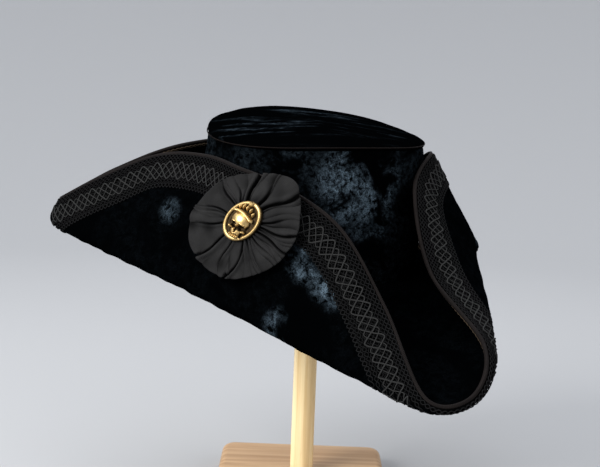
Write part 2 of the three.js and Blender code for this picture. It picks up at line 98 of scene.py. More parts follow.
# The wall ends a little below the rim and bulges at the back; the top stands out over the wall and
# turns over a rounded edge into a short skirt
WALL, WALL_END, BACK_BULGE = 2.0, 2.3, 4.3
TOP_OVERHANG, TOP_THICKNESS, TOP_EDGE, TOP_SKIRT = 1.3, 1.2, 2.6, 3.4
PIPING_OUT, PIPING_DROP, PIPING_FRONT_DROP, PIPING_RADIUS = 1.5, 1.8, 3.5, 0.5

# Painted sheen on the velvet: where its pile is painted blue-grey as if lying towards the light, put
# where the light falls: a place and a radius in metres, and a strength
SheenPatch = namedtuple("SheenPatch", "place radius strength")
# A patch is at its full strength out to this share of its radius
PATCH_CORE = 0.35
CROWN_SHEEN_PATCHES = (
    SheenPatch((0.038, -0.084, 0.296), 0.048, 1.0), SheenPatch((0.046, -0.080, 0.272), 0.035, 0.5),
    SheenPatch((-0.020, -0.089, 0.312), 0.030, 0.15), SheenPatch((0.020, 0.110, 0.300), 0.060, 0.6),
    SheenPatch((-0.100, 0.020, 0.290), 0.040, 0.5), SheenPatch((0.095, 0.000, 0.290), 0.040, 0.5),
)
TOP_SHEEN_PATCHES = (
    SheenPatch((-0.060, -0.030, 0.338), 0.045, 0.8), SheenPatch((-0.005, -0.040, 0.340), 0.050, 0.5),
    SheenPatch((0.050, -0.020, 0.338), 0.050, 0.3), SheenPatch((0.000, 0.050, 0.345), 0.060, 0.6),
)
BRIM_SHEEN_PATCHES = (
    SheenPatch((-0.003, -0.149, 0.245), 0.024, 1.0), SheenPatch((0.015, -0.161, 0.226), 0.022, 0.8),
    SheenPatch((-0.022, -0.151, 0.188), 0.022, 0.5), SheenPatch((-0.120, -0.058, 0.267), 0.015, 0.3),
    SheenPatch((0.020, 0.170, 0.230), 0.060, 0.7), SheenPatch((0.160, 0.050, 0.250), 0.050, 0.6),
    SheenPatch((-0.080, 0.110, 0.250), 0.045, 0.6),
)


# Numpy helpers

# Rotation of the hat on its stand: lean to the left, then front up, then heading
TURN = np.array(Euler(np.radians([-LEFT_DOWN, -FRONT_UP, HEADING]), "XYZ").to_matrix())


def to_world(points):
    """Hat frame in mm to world in metres: turn, then shift to the seat."""
    return (np.asarray(points) @ TURN.T + SEAT) * MM


def unit(vectors):
    """Vectors scaled to length one along the last axis."""
    return vectors / np.maximum(np.linalg.norm(vectors, axis=-1, keepdims=True), 1e-12)


def closed_spline(points, places):
    """Uniform Catmull-Rom curve through a closed loop of points; place 0 to 1 runs once round."""
    at = np.asarray(places) * len(points)
    low = np.floor(at).astype(int)
    part = (at - low)[:, None]
    before, start, end, after = (points[(low + k) % len(points)] for k in (-1, 0, 1, 2))
    return start + 0.5 * part * (
        end - before
        + part * (2 * before - 5 * start + 4 * end - after)
        + part**2 * (3 * start - before - 3 * end + after)
    )


def interp_rows(x, known_x, known_y):
    """Linear interpolation row by row: each row of x is read off its own row of known values."""
    span = max(known_x.max(), x.max()) + 1.0
    shift = np.arange(len(known_x))[:, None] * span
    flat = np.interp((x + shift).ravel(), (known_x + shift).ravel(), known_y.ravel())
    return flat.reshape(x.shape)


def smooth_loop(values, passes):
    """Values round a loop, each replaced by a quarter of its neighbours and half of itself."""
    for _ in range(passes):
        values = (np.roll(values, 1, 0) + 2 * values + np.roll(values, -1, 0)) / 4
    return values


def full_turn(steps):
    """Angles in even steps once round, in radians."""
    return np.arange(steps) / steps * 2 * np.pi


def ripples(points, wavelength, seed, waves=14):
    """A soft random field from about -1 to 1: the sum of plane waves in random directions."""
    random = np.random.default_rng(seed)
    directions = unit(random.normal(size=(waves, 3)))
    numbers = 2 * np.pi / (wavelength * random.uniform(0.7, 1.4, waves))
    phases = random.uniform(0, 2 * np.pi, waves)
    return np.sin(points @ (directions.T * numbers) + phases).sum(-1) / np.sqrt(waves)


def surface_normals(grid):
    """Normals of a (rows, columns, 3) grid whose columns close on themselves. They point out of the
    brim's outer face, and into the crown."""
    around = np.roll(grid, -1, 1) - np.roll(grid, 1, 1)
    along = np.gradient(grid, axis=0)
    return unit(np.cross(around, -along))


# Brim surface

def brim_sections(columns):
    """Crown seam, fold and edge points of every column, from three closed splines."""
    left = np.array(BRIM_SECTIONS, dtype=float)
    right = left[-2:0:-1] * np.array([-1, 1, 1, -1, RIGHT_FLAP, 1])
    right[:, 1] -= CORNER_IN * np.exp(-(((right[:, 0] + CORNER_AZIMUTH) / CORNER_REACH) ** 2))
    right[:, 4] += RISE * np.exp(-(((right[:, 0] + RISE_AZIMUTH) / RISE_REACH) ** 2))
    azimuth, radius, height, facing, length, lean = np.concatenate([left, right]).T
    azimuth, facing, lean = np.radians(azimuth), np.radians(facing), np.radians(lean)
    ray = np.stack([np.cos(azimuth), np.sin(azimuth), np.zeros_like(azimuth)], -1)
    seam = 1 / np.hypot(np.cos(azimuth) / SEAM_OVAL[0], np.sin(azimuth) / SEAM_OVAL[1])
    crown = ray * seam[:, None]
    fold = ray * radius[:, None] + height[:, None] * np.array([0, 0, 1])
    level = np.cos(lean)
    flap = np.stack([level * np.cos(facing), level * np.sin(facing), np.sin(lean)], -1)
    edge = fold + flap * length[:, None]
    places = np.arange(columns) / columns
    return [closed_spline(loop, places) for loop in (crown, fold, edge)]


def brim_paths(columns, steps=60):
    """Each column's path: edge to bend along the flap, a quadratic Bezier bend round the fold,
    then on to the crown seam. Returns points (columns, samples, 3) and their arc lengths."""
    crown, fold, edge = brim_sections(columns)

    def towards(end, share):
        away = np.linalg.norm(end - fold, axis=1, keepdims=True)
        return fold + (end - fold) / away * np.minimum(share * away, BEND_REACH)

    start, finish = towards(edge, FLAP_BEND_SHARE), towards(crown, BASE_BEND_SHARE)
    t = np.linspace(0, 1, steps)[None, :, None]
    flap = edge[:, None] + (start - edge)[:, None] * t
    bend = (1 - t) ** 2 * start[:, None] + 2 * t * (1 - t) * fold[:, None] + t**2 * finish[:, None]
    base = finish[:, None] + (crown - finish)[:, None] * t
    path = np.concatenate([flap[:, :-1], bend[:, :-1], base], 1)
    strides = np.linalg.norm(np.diff(path, axis=1), axis=2)
    arcs = np.concatenate([np.zeros((columns, 1)), np.cumsum(strides, 1)], 1)
    return path, arcs


def along_paths(path, arcs, wanted):
    """Points at the wanted arc lengths of each column, as (rows, columns, 3)."""
    axes = [interp_rows(wanted, arcs, path[:, :, axis]) for axis in range(3)]
    return np.stack(axes, -1).transpose(1, 0, 2)


def brim_middle(columns=440, rows=84):
    """Middle surface of the brim: equal steps of arc length from the edge to the seam."""
    path, arcs = brim_paths(columns)
    wanted = arcs[:, -1:] * np.linspace(0, 1, rows)
    return along_paths(path, arcs, wanted)


# Round a pointed corner the chart still moves on by this share of the edge's own length
LEAST_ADVANCE = 0.3


class EdgeBand:
    """The strip of the brim along its edge, charted by two lengths in mm: s runs along the edge
    and d goes square away from it. at(s, d, h) is the point h above the brim's middle surface."""

    columns, depth, step = 900, 36.0, 1.5
    # How many columns to either side the nearest place on the edge is looked for, and how far down
    # each column: in chart depths, and at most this share of the column
    window, far_down, most_down = 60, 1.8, 0.8
    # A depth is at most this many times as long along its column, and a hair more
    steepest, hair = 1.6, 0.01

    def __init__(self):
        path, arcs = brim_paths(self.columns, 40)
        edge = path[:, 0]
        chords = np.linalg.norm(np.roll(edge, -1, 0) - edge, axis=1)
        self.length = chords.sum()
        self.depths = np.arange(0, self.depth + self.step / 2, self.step)
        run = np.concatenate([[0], np.cumsum(chords)[:-1]])
        reach = np.minimum(self.depth * self.far_down, arcs[:, -1:] * self.most_down)
        near_arcs = reach * np.linspace(0, 1, 48)
        distance, slip = self.from_edge(along_paths(path, arcs, near_arcs), edge)
        distance = distance + near_arcs * 1e-4
        wanted = np.broadcast_to(self.depths, (self.columns, len(self.depths)))
        arc = smooth_loop(interp_rows(wanted, distance, near_arcs), 8)
        points = along_paths(path, arcs, np.minimum(arc, self.steepest * self.depths + self.hair))
        feet = run + smooth_loop(interp_rows(wanted, distance, slip), 12).T
        self.points = self.evenly_spread(points, feet, run)
        self.normals = surface_normals(self.points)

    def from_edge(self, near, edge):
        """Each point's distance from the edge, which never falls down its column, and how far
        along the edge its nearest place lies."""
        offsets = np.arange(-self.window, self.window + 1)
        index = (np.arange(self.columns)[:, None] + offsets) % self.columns
        gaps = np.linalg.norm(near.transpose(1, 0, 2)[:, :, None] - edge[index][:, None], axis=3)
        slip = offsets[gaps.argmin(2)] * self.length / self.columns
        return np.maximum.accumulate(gaps.min(2), 1), slip

    def evenly_spread(self, points, feet, run):
        """The rows of points read off at even steps of the edge. Their feet on the edge are smoothed
        first, and always move on by LEAST_ADVANCE at least; the loop is laid out three times."""
        long_run = np.concatenate([run - self.length, run, run + self.length])
        long_feet = np.concatenate([feet - self.length, feet, feet + self.length], 1)
        spare = long_feet - LEAST_ADVANCE * long_run
        forward = np.maximum.accumulate(spare, 1)
        backward = np.minimum.accumulate(spare[:, ::-1], 1)[:, ::-1]
        spread = (forward + backward) / 2 - long_run * (1 - LEAST_ADVANCE)
        long_feet = long_run + smooth_loop(spread.T, 24).T
        long_points = np.concatenate([points] * 3, 1)
        stations = np.arange(self.columns) * self.length / self.columns
        asked = np.broadcast_to(stations, (len(self.depths), self.columns))
        low = long_feet.min()
        axes = [interp_rows(asked - low, long_feet - low, long_points[:, :, k]) for k in range(3)]
        return smooth_loop(np.stack(axes, -1).transpose(1, 0, 2), 3).transpose(1, 0, 2)

    def read(self, grid, s, d):
        """The grid's value at s and d, between its four neighbours."""
        across = (np.asarray(s) / self.length * self.columns) % self.columns
        down = np.clip(np.asarray(d) / self.step, 0, len(self.depths) - 1.001)
        left, upper = np.floor(across).astype(int), np.floor(down).astype(int)
        right, lower = (left + 1) % self.columns, upper + 1
        left = left % self.columns
        u, v = (across - np.floor(across))[..., None], (down - upper)[..., None]
        top = grid[upper, left] * (1 - u) + grid[upper, right] * u
        bottom = grid[lower, left] * (1 - u) + grid[lower, right] * u
        return top * (1 - v) + bottom * v

    def even(self, d, count):
        """Places s in even steps along the line at depth d, and the length of that line."""
        s = np.linspace(0, self.length, 4 * self.columns + 1)
        steps = np.linalg.norm(np.diff(self.at(s, d, 0.0), axis=0), axis=1)
        run = np.concatenate([[0], np.cumsum(steps)])
        return np.interp(np.arange(count) / count * run[-1], run, s), run[-1]

    def square(self, s, middle, d):
        """Places s moved along so that the depths d lie square across the line at the depth middle:
        each depth takes its nearest place to the line's point, smoothed along the line."""
        rows = np.arange(np.floor(d.min()), np.ceil(d.max()) + 2, 2.0)
        line = self.at(s, middle, 0.0)
        offsets = np.arange(-56, 57) * 0.8
        slips = []
        for row in rows:
            gaps = np.linalg.norm(self.at(s[:, None] + offsets, row, 0.0) - line[:, None], axis=2)
            slips.append(smooth_loop(offsets[gaps.argmin(1)], 40))
        place = np.interp(d, rows, np.arange(len(rows)))
        low = np.minimum(place.astype(int), len(rows) - 2)
        column = np.arange(len(s))
        before, after = (np.array(slips)[row, column] for row in (low, low + 1))
        return s + before + (after - before) * (place - low)

    def at(self, s, d, h):
        """Point of the chart; past the edge (d below 0) it runs straight on."""
        s, d, h = np.broadcast_arrays(*(np.asarray(x, dtype=float) for x in (s, d, h)))
        inside = np.maximum(d, 0)
        point = self.read(self.points, s, inside)
        normal = unit(self.read(self.normals, s, inside))
        edge, below = (self.read(self.points, s, 0 * d + depth) for depth in (0, self.step))
        out = unit(edge - below)
        return point + out * np.maximum(-d, 0)[..., None] + normal * h[..., None]


# Mesh helpers

def grid_quads(rows, columns, close_rows=False):
    """Quads of a (rows, columns) grid whose columns close round, and the (row, column) of each
    corner, counted on past the last."""
    r = np.arange(rows if close_rows else rows - 1)
    r, c = (x.ravel() for x in np.meshgrid(r, np.arange(columns), indexing="ij"))
    corners = np.stack([
        np.stack([r, c], -1), np.stack([r, c + 1], -1),
        np.stack([r + 1, c + 1], -1), np.stack([r + 1, c], -1),
    ], 1)
    quads = (corners[:, :, 0] % rows) * columns + corners[:, :, 1] % columns
    return quads, corners


def new_object(name, points, faces, material, uvs=None):
    """A smooth mesh object at the origin from points in metres and a list of arrays of quads or
    triangles."""
    loops = np.concatenate([group.ravel() for group in faces])
    sizes = np.concatenate([np.full(len(group), group.shape[1]) for group in faces])
    mesh = bpy.data.meshes.new(name)
    mesh.vertices.add(len(points))
    mesh.vertices.foreach_set("co", np.asarray(points, dtype=np.float32).ravel())
    mesh.loops.add(len(loops))
    mesh.loops.foreach_set("vertex_index", loops.astype(np.int32))
    mesh.polygons.add(len(sizes))
    starts = np.concatenate([[0], np.cumsum(sizes)[:-1]])
    mesh.polygons.foreach_set("loop_start", starts.astype(np.int32))
    mesh.polygons.foreach_set("use_smooth", np.ones(len(sizes), dtype=bool))
    if uvs is not None:
        layer = mesh.uv_layers.new(name="chart")
        layer.data.foreach_set("uv", np.asarray(uvs, dtype=np.float32).ravel())
    mesh.materials.append(material)
    mesh.update(calc_edges=True)
    mesh.validate()
    obj = bpy.data.objects.new(name, mesh)
    bpy.context.scene.collection.objects.link(obj)
    return obj


def outward(points, faces):
    """True where the closed shape's signed volume is positive, so that its faces point outwards."""
    volume = 0.0
    for group in faces:
        a, b, c = points[group[:, 0]], points[group[:, 1]], points[group[:, 2]]
        volume += (a * np.cross(b, c)).sum()
        if group.shape[1] == 4:
            d = points[group[:, 3]]
            volume += (a * np.cross(c, d)).sum()
    return volume > 0


def grid_piece(name, grid, material, capped=False, chart=None, in_hat=True):
    """A piece from a (rows, columns, 3) grid whose columns close round. Its rows close on themselves
    too, or capped closes the first and last row with a fan. chart gives (row values, length round)
    for the UV map. in_hat says that the grid lies in the hat's frame and not in the world's."""
    rows, columns = grid.shape[:2]
    quads, corners = grid_quads(rows, columns, close_rows=not capped)
    points = grid.reshape(-1, 3)
    faces = [quads]
    if chart is None:
        uv = corners[:, :, ::-1].astype(float)
    else:
        row_values, around = chart
        values = np.append(row_values, row_values[0])
        uv = np.stack([corners[:, :, 1] * around / columns, values[corners[:, :, 0]]], -1) * MM
    uvs = [uv.reshape(-1, 2)]
    for row in (0, rows - 1) if capped else ():
        ring = row * columns + np.arange(columns)
        fan = np.stack([ring, np.roll(ring, -1), np.full(columns, len(points))], -1)
        points = np.vstack([points, grid[row].mean(0)])
        faces.append(fan[:, ::-1] if row == 0 else fan)
        uvs.append(np.zeros((3 * columns, 2)))
    if not outward(points, faces):
        faces = [group[:, ::-1] for group in faces]
        uvs[0] = uv[:, ::-1].reshape(-1, 2)
    placed = to_world(points) if in_hat else points * MM
    return new_object(name, placed, faces, material, np.concatenate(uvs))


def tube_grid(path, lifts, radius, sides):
    """A closed cord along a closed path: circles across it, each from its side over its lift.
    Returns a (points along, sides, 3) grid."""
    tangent = unit(np.roll(path, -1, 0) - np.roll(path, 1, 0))
    side = unit(np.cross(tangent, lifts))
    up = np.cross(side, tangent)
    angle = full_turn(sides)[:, None]
    ring = side[:, None] * np.cos(angle) + up[:, None] * np.sin(angle)
    return path[:, None] + ring * radius


def tubes_object(name, grids, material):
    """One object from several closed tube grids, each closed along its rows too."""
    points, faces, uvs, first = [], [], [], 0
    for grid in grids:
        rows, columns = grid.shape[:2]
        quads, corners = grid_quads(rows, columns, close_rows=True)
        tube = grid.reshape(-1, 3)
        steps = np.linalg.norm(np.roll(grid.mean(1), -1, 0) - grid.mean(1), axis=1)
        run = np.concatenate([[0], np.cumsum(steps)])
        uv = np.stack([run[corners[:, :, 0]] * MM, corners[:, :, 1] / columns], -1)
        if not outward(tube, [quads]):
            quads, uv = quads[:, ::-1], uv[:, ::-1]
        points.append(tube)
        faces.append(quads + first)
        uvs.append(uv.reshape(-1, 2))
        first += len(tube)
    placed = to_world(np.concatenate(points))
    return new_object(name, placed, [np.concatenate(faces)], material, np.concatenate(uvs))


def spread_value(piece, name, values, at_poles):
    """A number for every vertex of a capped grid piece, which its material reads by name."""
    layer = piece.data.attributes.new(name, "FLOAT", "POINT")
    filled = np.append(values.ravel(), [at_poles, at_poles])
    layer.data.foreach_set("value", filled.astype(np.float32))


def settle(piece, *nodes, slot):
    """The piece rides on the one body and stands for its nodes; slot is not used."""
    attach(piece, "root")
    if nodes:
        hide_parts(*nodes)


# Materials

class Nodes:
    """A new node material with its Principled shader, and short ways to add nodes to it."""

    def __init__(self, name):
        self.material = bpy.data.materials.new(name)
        self.material.use_nodes = True
        self.tree = self.material.node_tree
        self.shader = self.tree.nodes["Principled BSDF"]

    def put(self, socket, value):
        """Links a socket's value or sets it; a colour of three numbers is opaque."""
        if isinstance(value, bpy.types.NodeSocket):
            self.tree.links.new(value, socket)
        elif socket.type == "RGBA":
            socket.default_value = (*value, 1.0)
        else:
            socket.default_value = value

    def add(self, kind, settings=(), **inputs):
        """A node with its settings and inputs: _0 is the first input, and Base_Color one by name."""
        node = self.tree.nodes.new(kind)
        for key, value in dict(settings).items():
            setattr(node, key, value)
        for key, value in inputs.items():
            self.put(node.inputs[int(key[1:]) if key[0] == "_" else key.replace("_", " ")], value)
        return node

    def coordinates(self, kind="Object", scale=(1, 1, 1), turn=(0, 0, 0)):
        source = self.add("ShaderNodeTexCoord").outputs[kind]
        mapping = self.add("ShaderNodeMapping", Vector=source, Scale=scale, Rotation=turn)
        return mapping.outputs["Vector"]

    def attribute(self, name):
        return self.add("ShaderNodeAttribute", {"attribute_name": name}).outputs["Fac"]

    def noise(self, vector, scale, detail=3.0, roughness=0.5, distortion=0.0):
        node = self.add("ShaderNodeTexNoise", Vector=vector, Scale=scale, Detail=detail,
                        Roughness=roughness, Distortion=distortion)
        return node.outputs["Fac"]

    def bands(self, vector, scale, distortion):
        node = self.add("ShaderNodeTexWave", {"wave_type": "BANDS", "bands_direction": "X"},
                        Vector=vector, Scale=scale, Distortion=distortion, Detail=1.0)
        return node.outputs["Fac"]

    def math(self, operation, a, b, clamp=False):
        node = self.add("ShaderNodeMath", {"operation": operation, "use_clamp": clamp}, _0=a, _1=b)
        return node.outputs[0]

    def range(self, value, low, high, start=0.0, end=1.0):
        """A soft step: start where the value is at low, end where it is at high."""
        node = self.add("ShaderNodeMapRange", {"interpolation_type": "SMOOTHSTEP"}, Value=value,
                        From_Min=low, From_Max=high, To_Min=start, To_Max=end)
        return node.outputs["Result"]

    def mix(self, share, a, b):
        """Colour a where the share is 0, and b where it is 1."""
        node = self.add("ShaderNodeMix", {"data_type": "RGBA"}, _0=share, _6=a, _7=b)
        return node.outputs[2]

    def bump(self, height, strength, distance, **under):
        """A bumped normal; Normal names another one that it lies on."""
        node = self.add("ShaderNodeBump", Height=height, Strength=strength, Distance=distance, **under)
        return node.outputs["Normal"]

    def finish(self, color, roughness, **values):
        """Sets or links the shader's inputs and returns the material."""
        for key, value in {"Base Color": color, "Roughness": roughness, **values}.items():
            self.put(self.shader.inputs[key.replace("_", " ")], value)
        return self.material


def shaded(color, share):
    """The colour with each part times a share."""
    return tuple(part * share for part in color)


def velvet_material(name, colours, patches, elsewhere, streaks=(1, 1, 1), broad_scale=24.0, bare=0.0):
    """Crushed velvet: upright pile is almost black, and laid pile is a blue-grey painted sheen, as the
    shader has no sheen or specular of its own. Each patch paints the sheen where the light falls, and
    elsewhere is its strength outside them all. bare leaves more of the pile upright, without painted
    sheen, and streaks stretches the pattern."""
    n = Nodes(name)
    place = n.coordinates()
    where = n.coordinates(scale=streaks)
    laid = elsewhere
    for patch in patches:
        away = n.add("ShaderNodeVectorMath", {"operation": "DISTANCE"}, _0=place, _1=patch.place)
        near = n.range(away.outputs["Value"], patch.radius * PATCH_CORE, patch.radius,
                       start=patch.strength, end=0.0)
        laid = n.math("MAXIMUM", laid, near)
    broad = n.noise(where, broad_scale, detail=3.0, roughness=0.6, distortion=0.7)
    fine = n.noise(where, broad_scale * 7, detail=4.0, roughness=0.7, distortion=0.5)
    grain = n.noise(where, broad_scale * 38, detail=2.0, roughness=0.6)
    crush = n.math("MULTIPLY", n.range(broad, 0.38 + bare, 0.60 + bare),
                   n.range(fine, 0.36 + bare / 2, 0.64 + bare / 2))
    crush = n.math("MULTIPLY", crush, n.range(grain, 0.32, 0.66, start=0.2))
    crush = n.math("MULTIPLY", crush, laid, clamp=True)
    # Painted sheen: the crush mottle, strongest in the patches, turns the black pile blue-grey
    color = n.mix(crush, colours.velvet_dark, colours.velvet_painted_sheen)
    folds = n.noise(where, broad_scale * 2, detail=2.0)
    soft = n.bump(folds, strength=0.5, distance=0.0018)
    nap = n.bump(fine, strength=0.5, distance=0.0008, Normal=soft)
    normal = n.bump(grain, strength=0.35, distance=0.0003, Normal=nap)
    return n.finish(color, 0.9, Normal=normal, Specular_IOR_Level=0.0)


def cloth_material(name, color, ribs, roughness, shade=None):
    """Plain cloth with fine ribs across its chart and a little unevenness of colour; shade names
    a value of the piece that paints shade into it."""
    n = Nodes(name)
    wave = n.bands(n.coordinates("UV"), ribs, 0.6)
    mottle = n.noise(n.coordinates(), 60.0, detail=4.0, roughness=0.6)
    even = n.mix(n.range(mottle, 0.3, 0.7), shaded(color, 0.6), color)
    # Painted highlight: the rib crests are made lighter, as if lit
    lit = n.mix(n.range(wave, 0.0, 1.0, end=0.45), even, shaded(color, 1.5))
    if shade:
        # Painted shade: the named value darkens the colour down to 6 %
        lit = n.mix(n.range(n.attribute(shade), 0.0, 1.0), lit, shaded(color, 0.06))
    ribbed = n.bump(wave, strength=0.6, distance=0.0002)
    return n.finish(lit, roughness, Normal=ribbed, Specular_IOR_Level=0.05)


def cord_material(name, color):
    """Braid cord: fine slanting twist from the cord's own chart, almost matte."""
    n = Nodes(name)
    wave = n.bands(n.coordinates("UV", (1, 0.0012, 1), (0, 0, 0.7)), 420.0, 0.4)
    twist = n.mix(n.range(wave, 0.2, 0.8), shaded(color, 0.5), color)
    twisted = n.bump(wave, strength=0.6, distance=0.0002)
    return n.finish(twist, 0.7, Normal=twisted, Specular_IOR_Level=0.02)


def ground_material(name, color):
    """Braid ground: nearly black cloth with a fine fuzz."""
    n = Nodes(name)
    fuzz = n.noise(n.coordinates(), 1500.0, detail=3.0, roughness=0.6)
    shade = n.mix(n.range(fuzz, 0.4, 0.7), shaded(color, 0.05), shaded(color, 0.25))
    fuzzy = n.bump(fuzz, strength=0.6, distance=0.0003)
    return n.finish(shade, 0.95, Normal=fuzzy, Specular_IOR_Level=0.0)


def brass_material(name, color):
    """Cast brass, dark with patina low down in the relief and rubbed bright on the high places.
    The relief attribute is a height in mm, to which a blotchy noise adds up to 1.2."""
    n = Nodes(name)
    blot = n.noise(n.coordinates(), 500.0, detail=4.0, roughness=0.6)
    height = n.math("ADD", n.attribute("relief"), n.math("MULTIPLY", blot, 1.2))
    worn = n.range(height, 2.8, 4.8)
    shade = n.mix(worn, (0.03, 0.02, 0.01), color)
    shade = n.mix(n.range(blot, 0.5, 0.8, end=0.5), shade, (0.12, 0.075, 0.035))
    rough = n.range(worn, 0.0, 1.0, start=0.6, end=0.36)
    uneven = n.bump(blot, strength=0.15, distance=0.0002)
    return n.finish(shade, rough, Normal=uneven, Metallic=1.0)


def wood_material(name, color, dark, grain, scale):
    """Straight-grained wood: noise for streaks, broad bands and fine pores. grain is its scale on
    each axis, which is below one along the grain."""
    n = Nodes(name)
    where = n.coordinates(scale=grain)
    streak = n.noise(where, scale, detail=4.0, roughness=0.6, distortion=0.25)
    pores = n.noise(where, scale * 9, detail=2.0, roughness=0.7)
    broad = n.noise(where, scale * 0.25, detail=2.0, roughness=0.5, distortion=0.3)
    shade = n.mix(n.range(streak, 0.35, 0.7), color, dark)
    shade = n.mix(n.range(broad, 0.4, 0.75, end=0.55), shade, shaded(dark, 0.92))
    shade = n.mix(n.range(pores, 0.62, 0.8, end=0.45), shade, shaded(dark, 0.6))
    rough = n.range(streak, 0.3, 0.7, start=0.42, end=0.56)
    grained = n.bump(streak, strength=0.25, distance=0.0002)
    return n.finish(shade, rough, Normal=grained, Specular_IOR_Level=0.4)


# Settings

def length(name, description, default_mm):
    return FloatProperty(name=name, description=description, default=default_mm * MM,
                         min=0.0, subtype="DISTANCE", unit="LENGTH")


def colour(name, description, default):
    return FloatVectorProperty(name=name, description=description, default=default,
                               min=0.0, max=1.0, subtype="COLOR")


class TricornSizes(bpy.types.PropertyGroup):
    """Sizes of the cloth, trim and wood."""

    brim_thickness: length("Brim thickness", "Velvet over stiffening", 2.0)
    crush_depth: length("Crush depth", "Height of the velvet's crushed relief", 0.35)
    binding_width: length("Binding width", "What shows of the binding on the outer face", 1.8)
    binding_inside: length("Binding inside", "Width of the binding on the inner face", 5.5)
    braid_end: length("Braid depth", "From the brim's edge to the braid's lower edge", 31.5)
    cord_radius: length("Cord radius", "Radius of the braid's zigzag cords", 0.6)
    knot_pitch: length("Knot pitch", "Length of one zigzag of a cord", 27.0)
    chain_pitch: length("Chain pitch", "Length of two links of the chained threads", 8.4)
    rosette_half_width: length("Rosette half width", "Along the flap", 53.0)
    rosette_half_height: length("Rosette half height", "Up and down the flap", 44.8)
    badge_half_length: length("Badge half length", "Along the skull", 19.5)
    badge_half_width: length("Badge half width", "Across the skull", 14.5)
    board_side: length("Board side", "Side of the square board", 156.0)
    post_radius: length("Post radius", "Radius of the round post", 10.5)


class TricornColours(bpy.types.PropertyGroup):
    """Colours of the cloth, metal and wood."""

    velvet_dark: colour("Velvet, upright pile", "Almost black", (0.0003, 0.0004, 0.0005))
    # The laid pile's blue-grey is painted sheen
    velvet_painted_sheen: colour("Velvet, laid pile", "Blue-grey sheen", (0.085, 0.12, 0.15))
    # The piping's brown, lighter than the velvet, is its own colour and also paints the seam's
    # highlight
    piping: colour("Piping", "Dark brown", (0.008, 0.006, 0.0053))
    binding: colour("Binding", "Dark brownish grey", (0.0062, 0.0048, 0.0044))
    braid: colour("Braid threads", "Charcoal", (0.0095, 0.0095, 0.0097))
    inner_thread: colour("Inner chain", "Dull brown", (0.06, 0.044, 0.03))
    cord: colour("Braid cords", "Light charcoal", (0.028, 0.028, 0.0272))
    ribbon: colour("Ribbon", "Matte charcoal", (0.0145, 0.0142, 0.014))
    brass: colour("Brass", "Antique brass", (0.58, 0.4, 0.165))
    post: colour("Post", "Pale softwood", (0.86, 0.69, 0.40))
    board: colour("Board", "Tan wood", (0.50, 0.32, 0.17))


class TricornView(bpy.types.PropertyGroup):
    """Camera and light."""

    distance: FloatProperty(name="Camera distance", description="From the post, towards the viewer",
                            default=0.983, min=0.2, subtype="DISTANCE", unit="LENGTH")
    height: FloatProperty(name="Camera height", description="Above the table",
                          default=0.3845, subtype="DISTANCE", unit="LENGTH")
    aside: FloatProperty(name="Camera aside", description="To the right of the post",
                         default=-0.0095, subtype="DISTANCE", unit="LENGTH")
    pitch: FloatProperty(name="Pitch down", description="Tilt of the camera below level",
                         default=np.radians(8.2), subtype="ANGLE")
    roll: FloatProperty(name="Roll", description="Turn of the picture, clockwise",
                        default=np.radians(2.2), subtype="ANGLE")
    lens: FloatProperty(name="Lens", description="Focal length on a 36 mm sensor",
                        default=66.0, min=10.0)
    power: FloatProperty(name="Key light", description="Power of the large soft light in watts",
                         default=52.0, min=0.0)


def settings():
    """The scene's sizes, which mm() reads, and its colours."""
    scene = bpy.context.scene
    return scene.tricorn_sizes, scene.tricorn_colours


def mm(value):
    """A length property in millimetres."""
    return value / MM


# Crown

def oval(half_length, half_width, angle):
    return np.stack([half_length * np.cos(angle), half_width * np.sin(angle)], -1)


def rim_height(angle):
    """Height of the top seam: falls to the front and left, droops at the back and is warped."""
    back = np.maximum(0, -np.cos(angle))
    return (CROWN_HEIGHT - FRONT_DROP * np.cos(angle) - BACK_DROOP * back**2
            - LEFT_DROP * np.sin(angle) - WARP * np.sin(2 * angle))


def crown_side_grid(columns=300, rows=52):
    """Outer and inner wall of the crown: straight lines from the base oval to the top oval, with
    shallow dents and a bulge at the back that fade at the seams; the walls are joined above and
    below."""
    angle = full_turn(columns)
    share = np.linspace(0, 1, rows)[:, None]
    z = -CROWN_HEM + (rim_height(angle) - WALL_END + CROWN_HEM) * share
    walls = []
    for inset in (0.0, WALL):
        low, high = (oval(*(half - inset for half in ends), angle) for ends in (BASE_OVAL, TOP_OVAL))
        xy = low + (high - low) * share[..., None]
        walls.append(np.concatenate([xy, z[..., None]], -1))
    outer, inner = walls
    fade = np.sin(np.pi * np.clip(share * 1.02, 0, 1)) ** 0.6
    swell = 0.9 * ripples(outer, 70.0, 5) + 0.35 * ripples(outer, 22.0, 6)
    swell = swell + BACK_BULGE * np.maximum(0, -np.cos(angle)) ** 8
    outer = outer - surface_normals(outer) * (fade * swell)[..., None]
    return np.concatenate([outer, inner[::-1]])


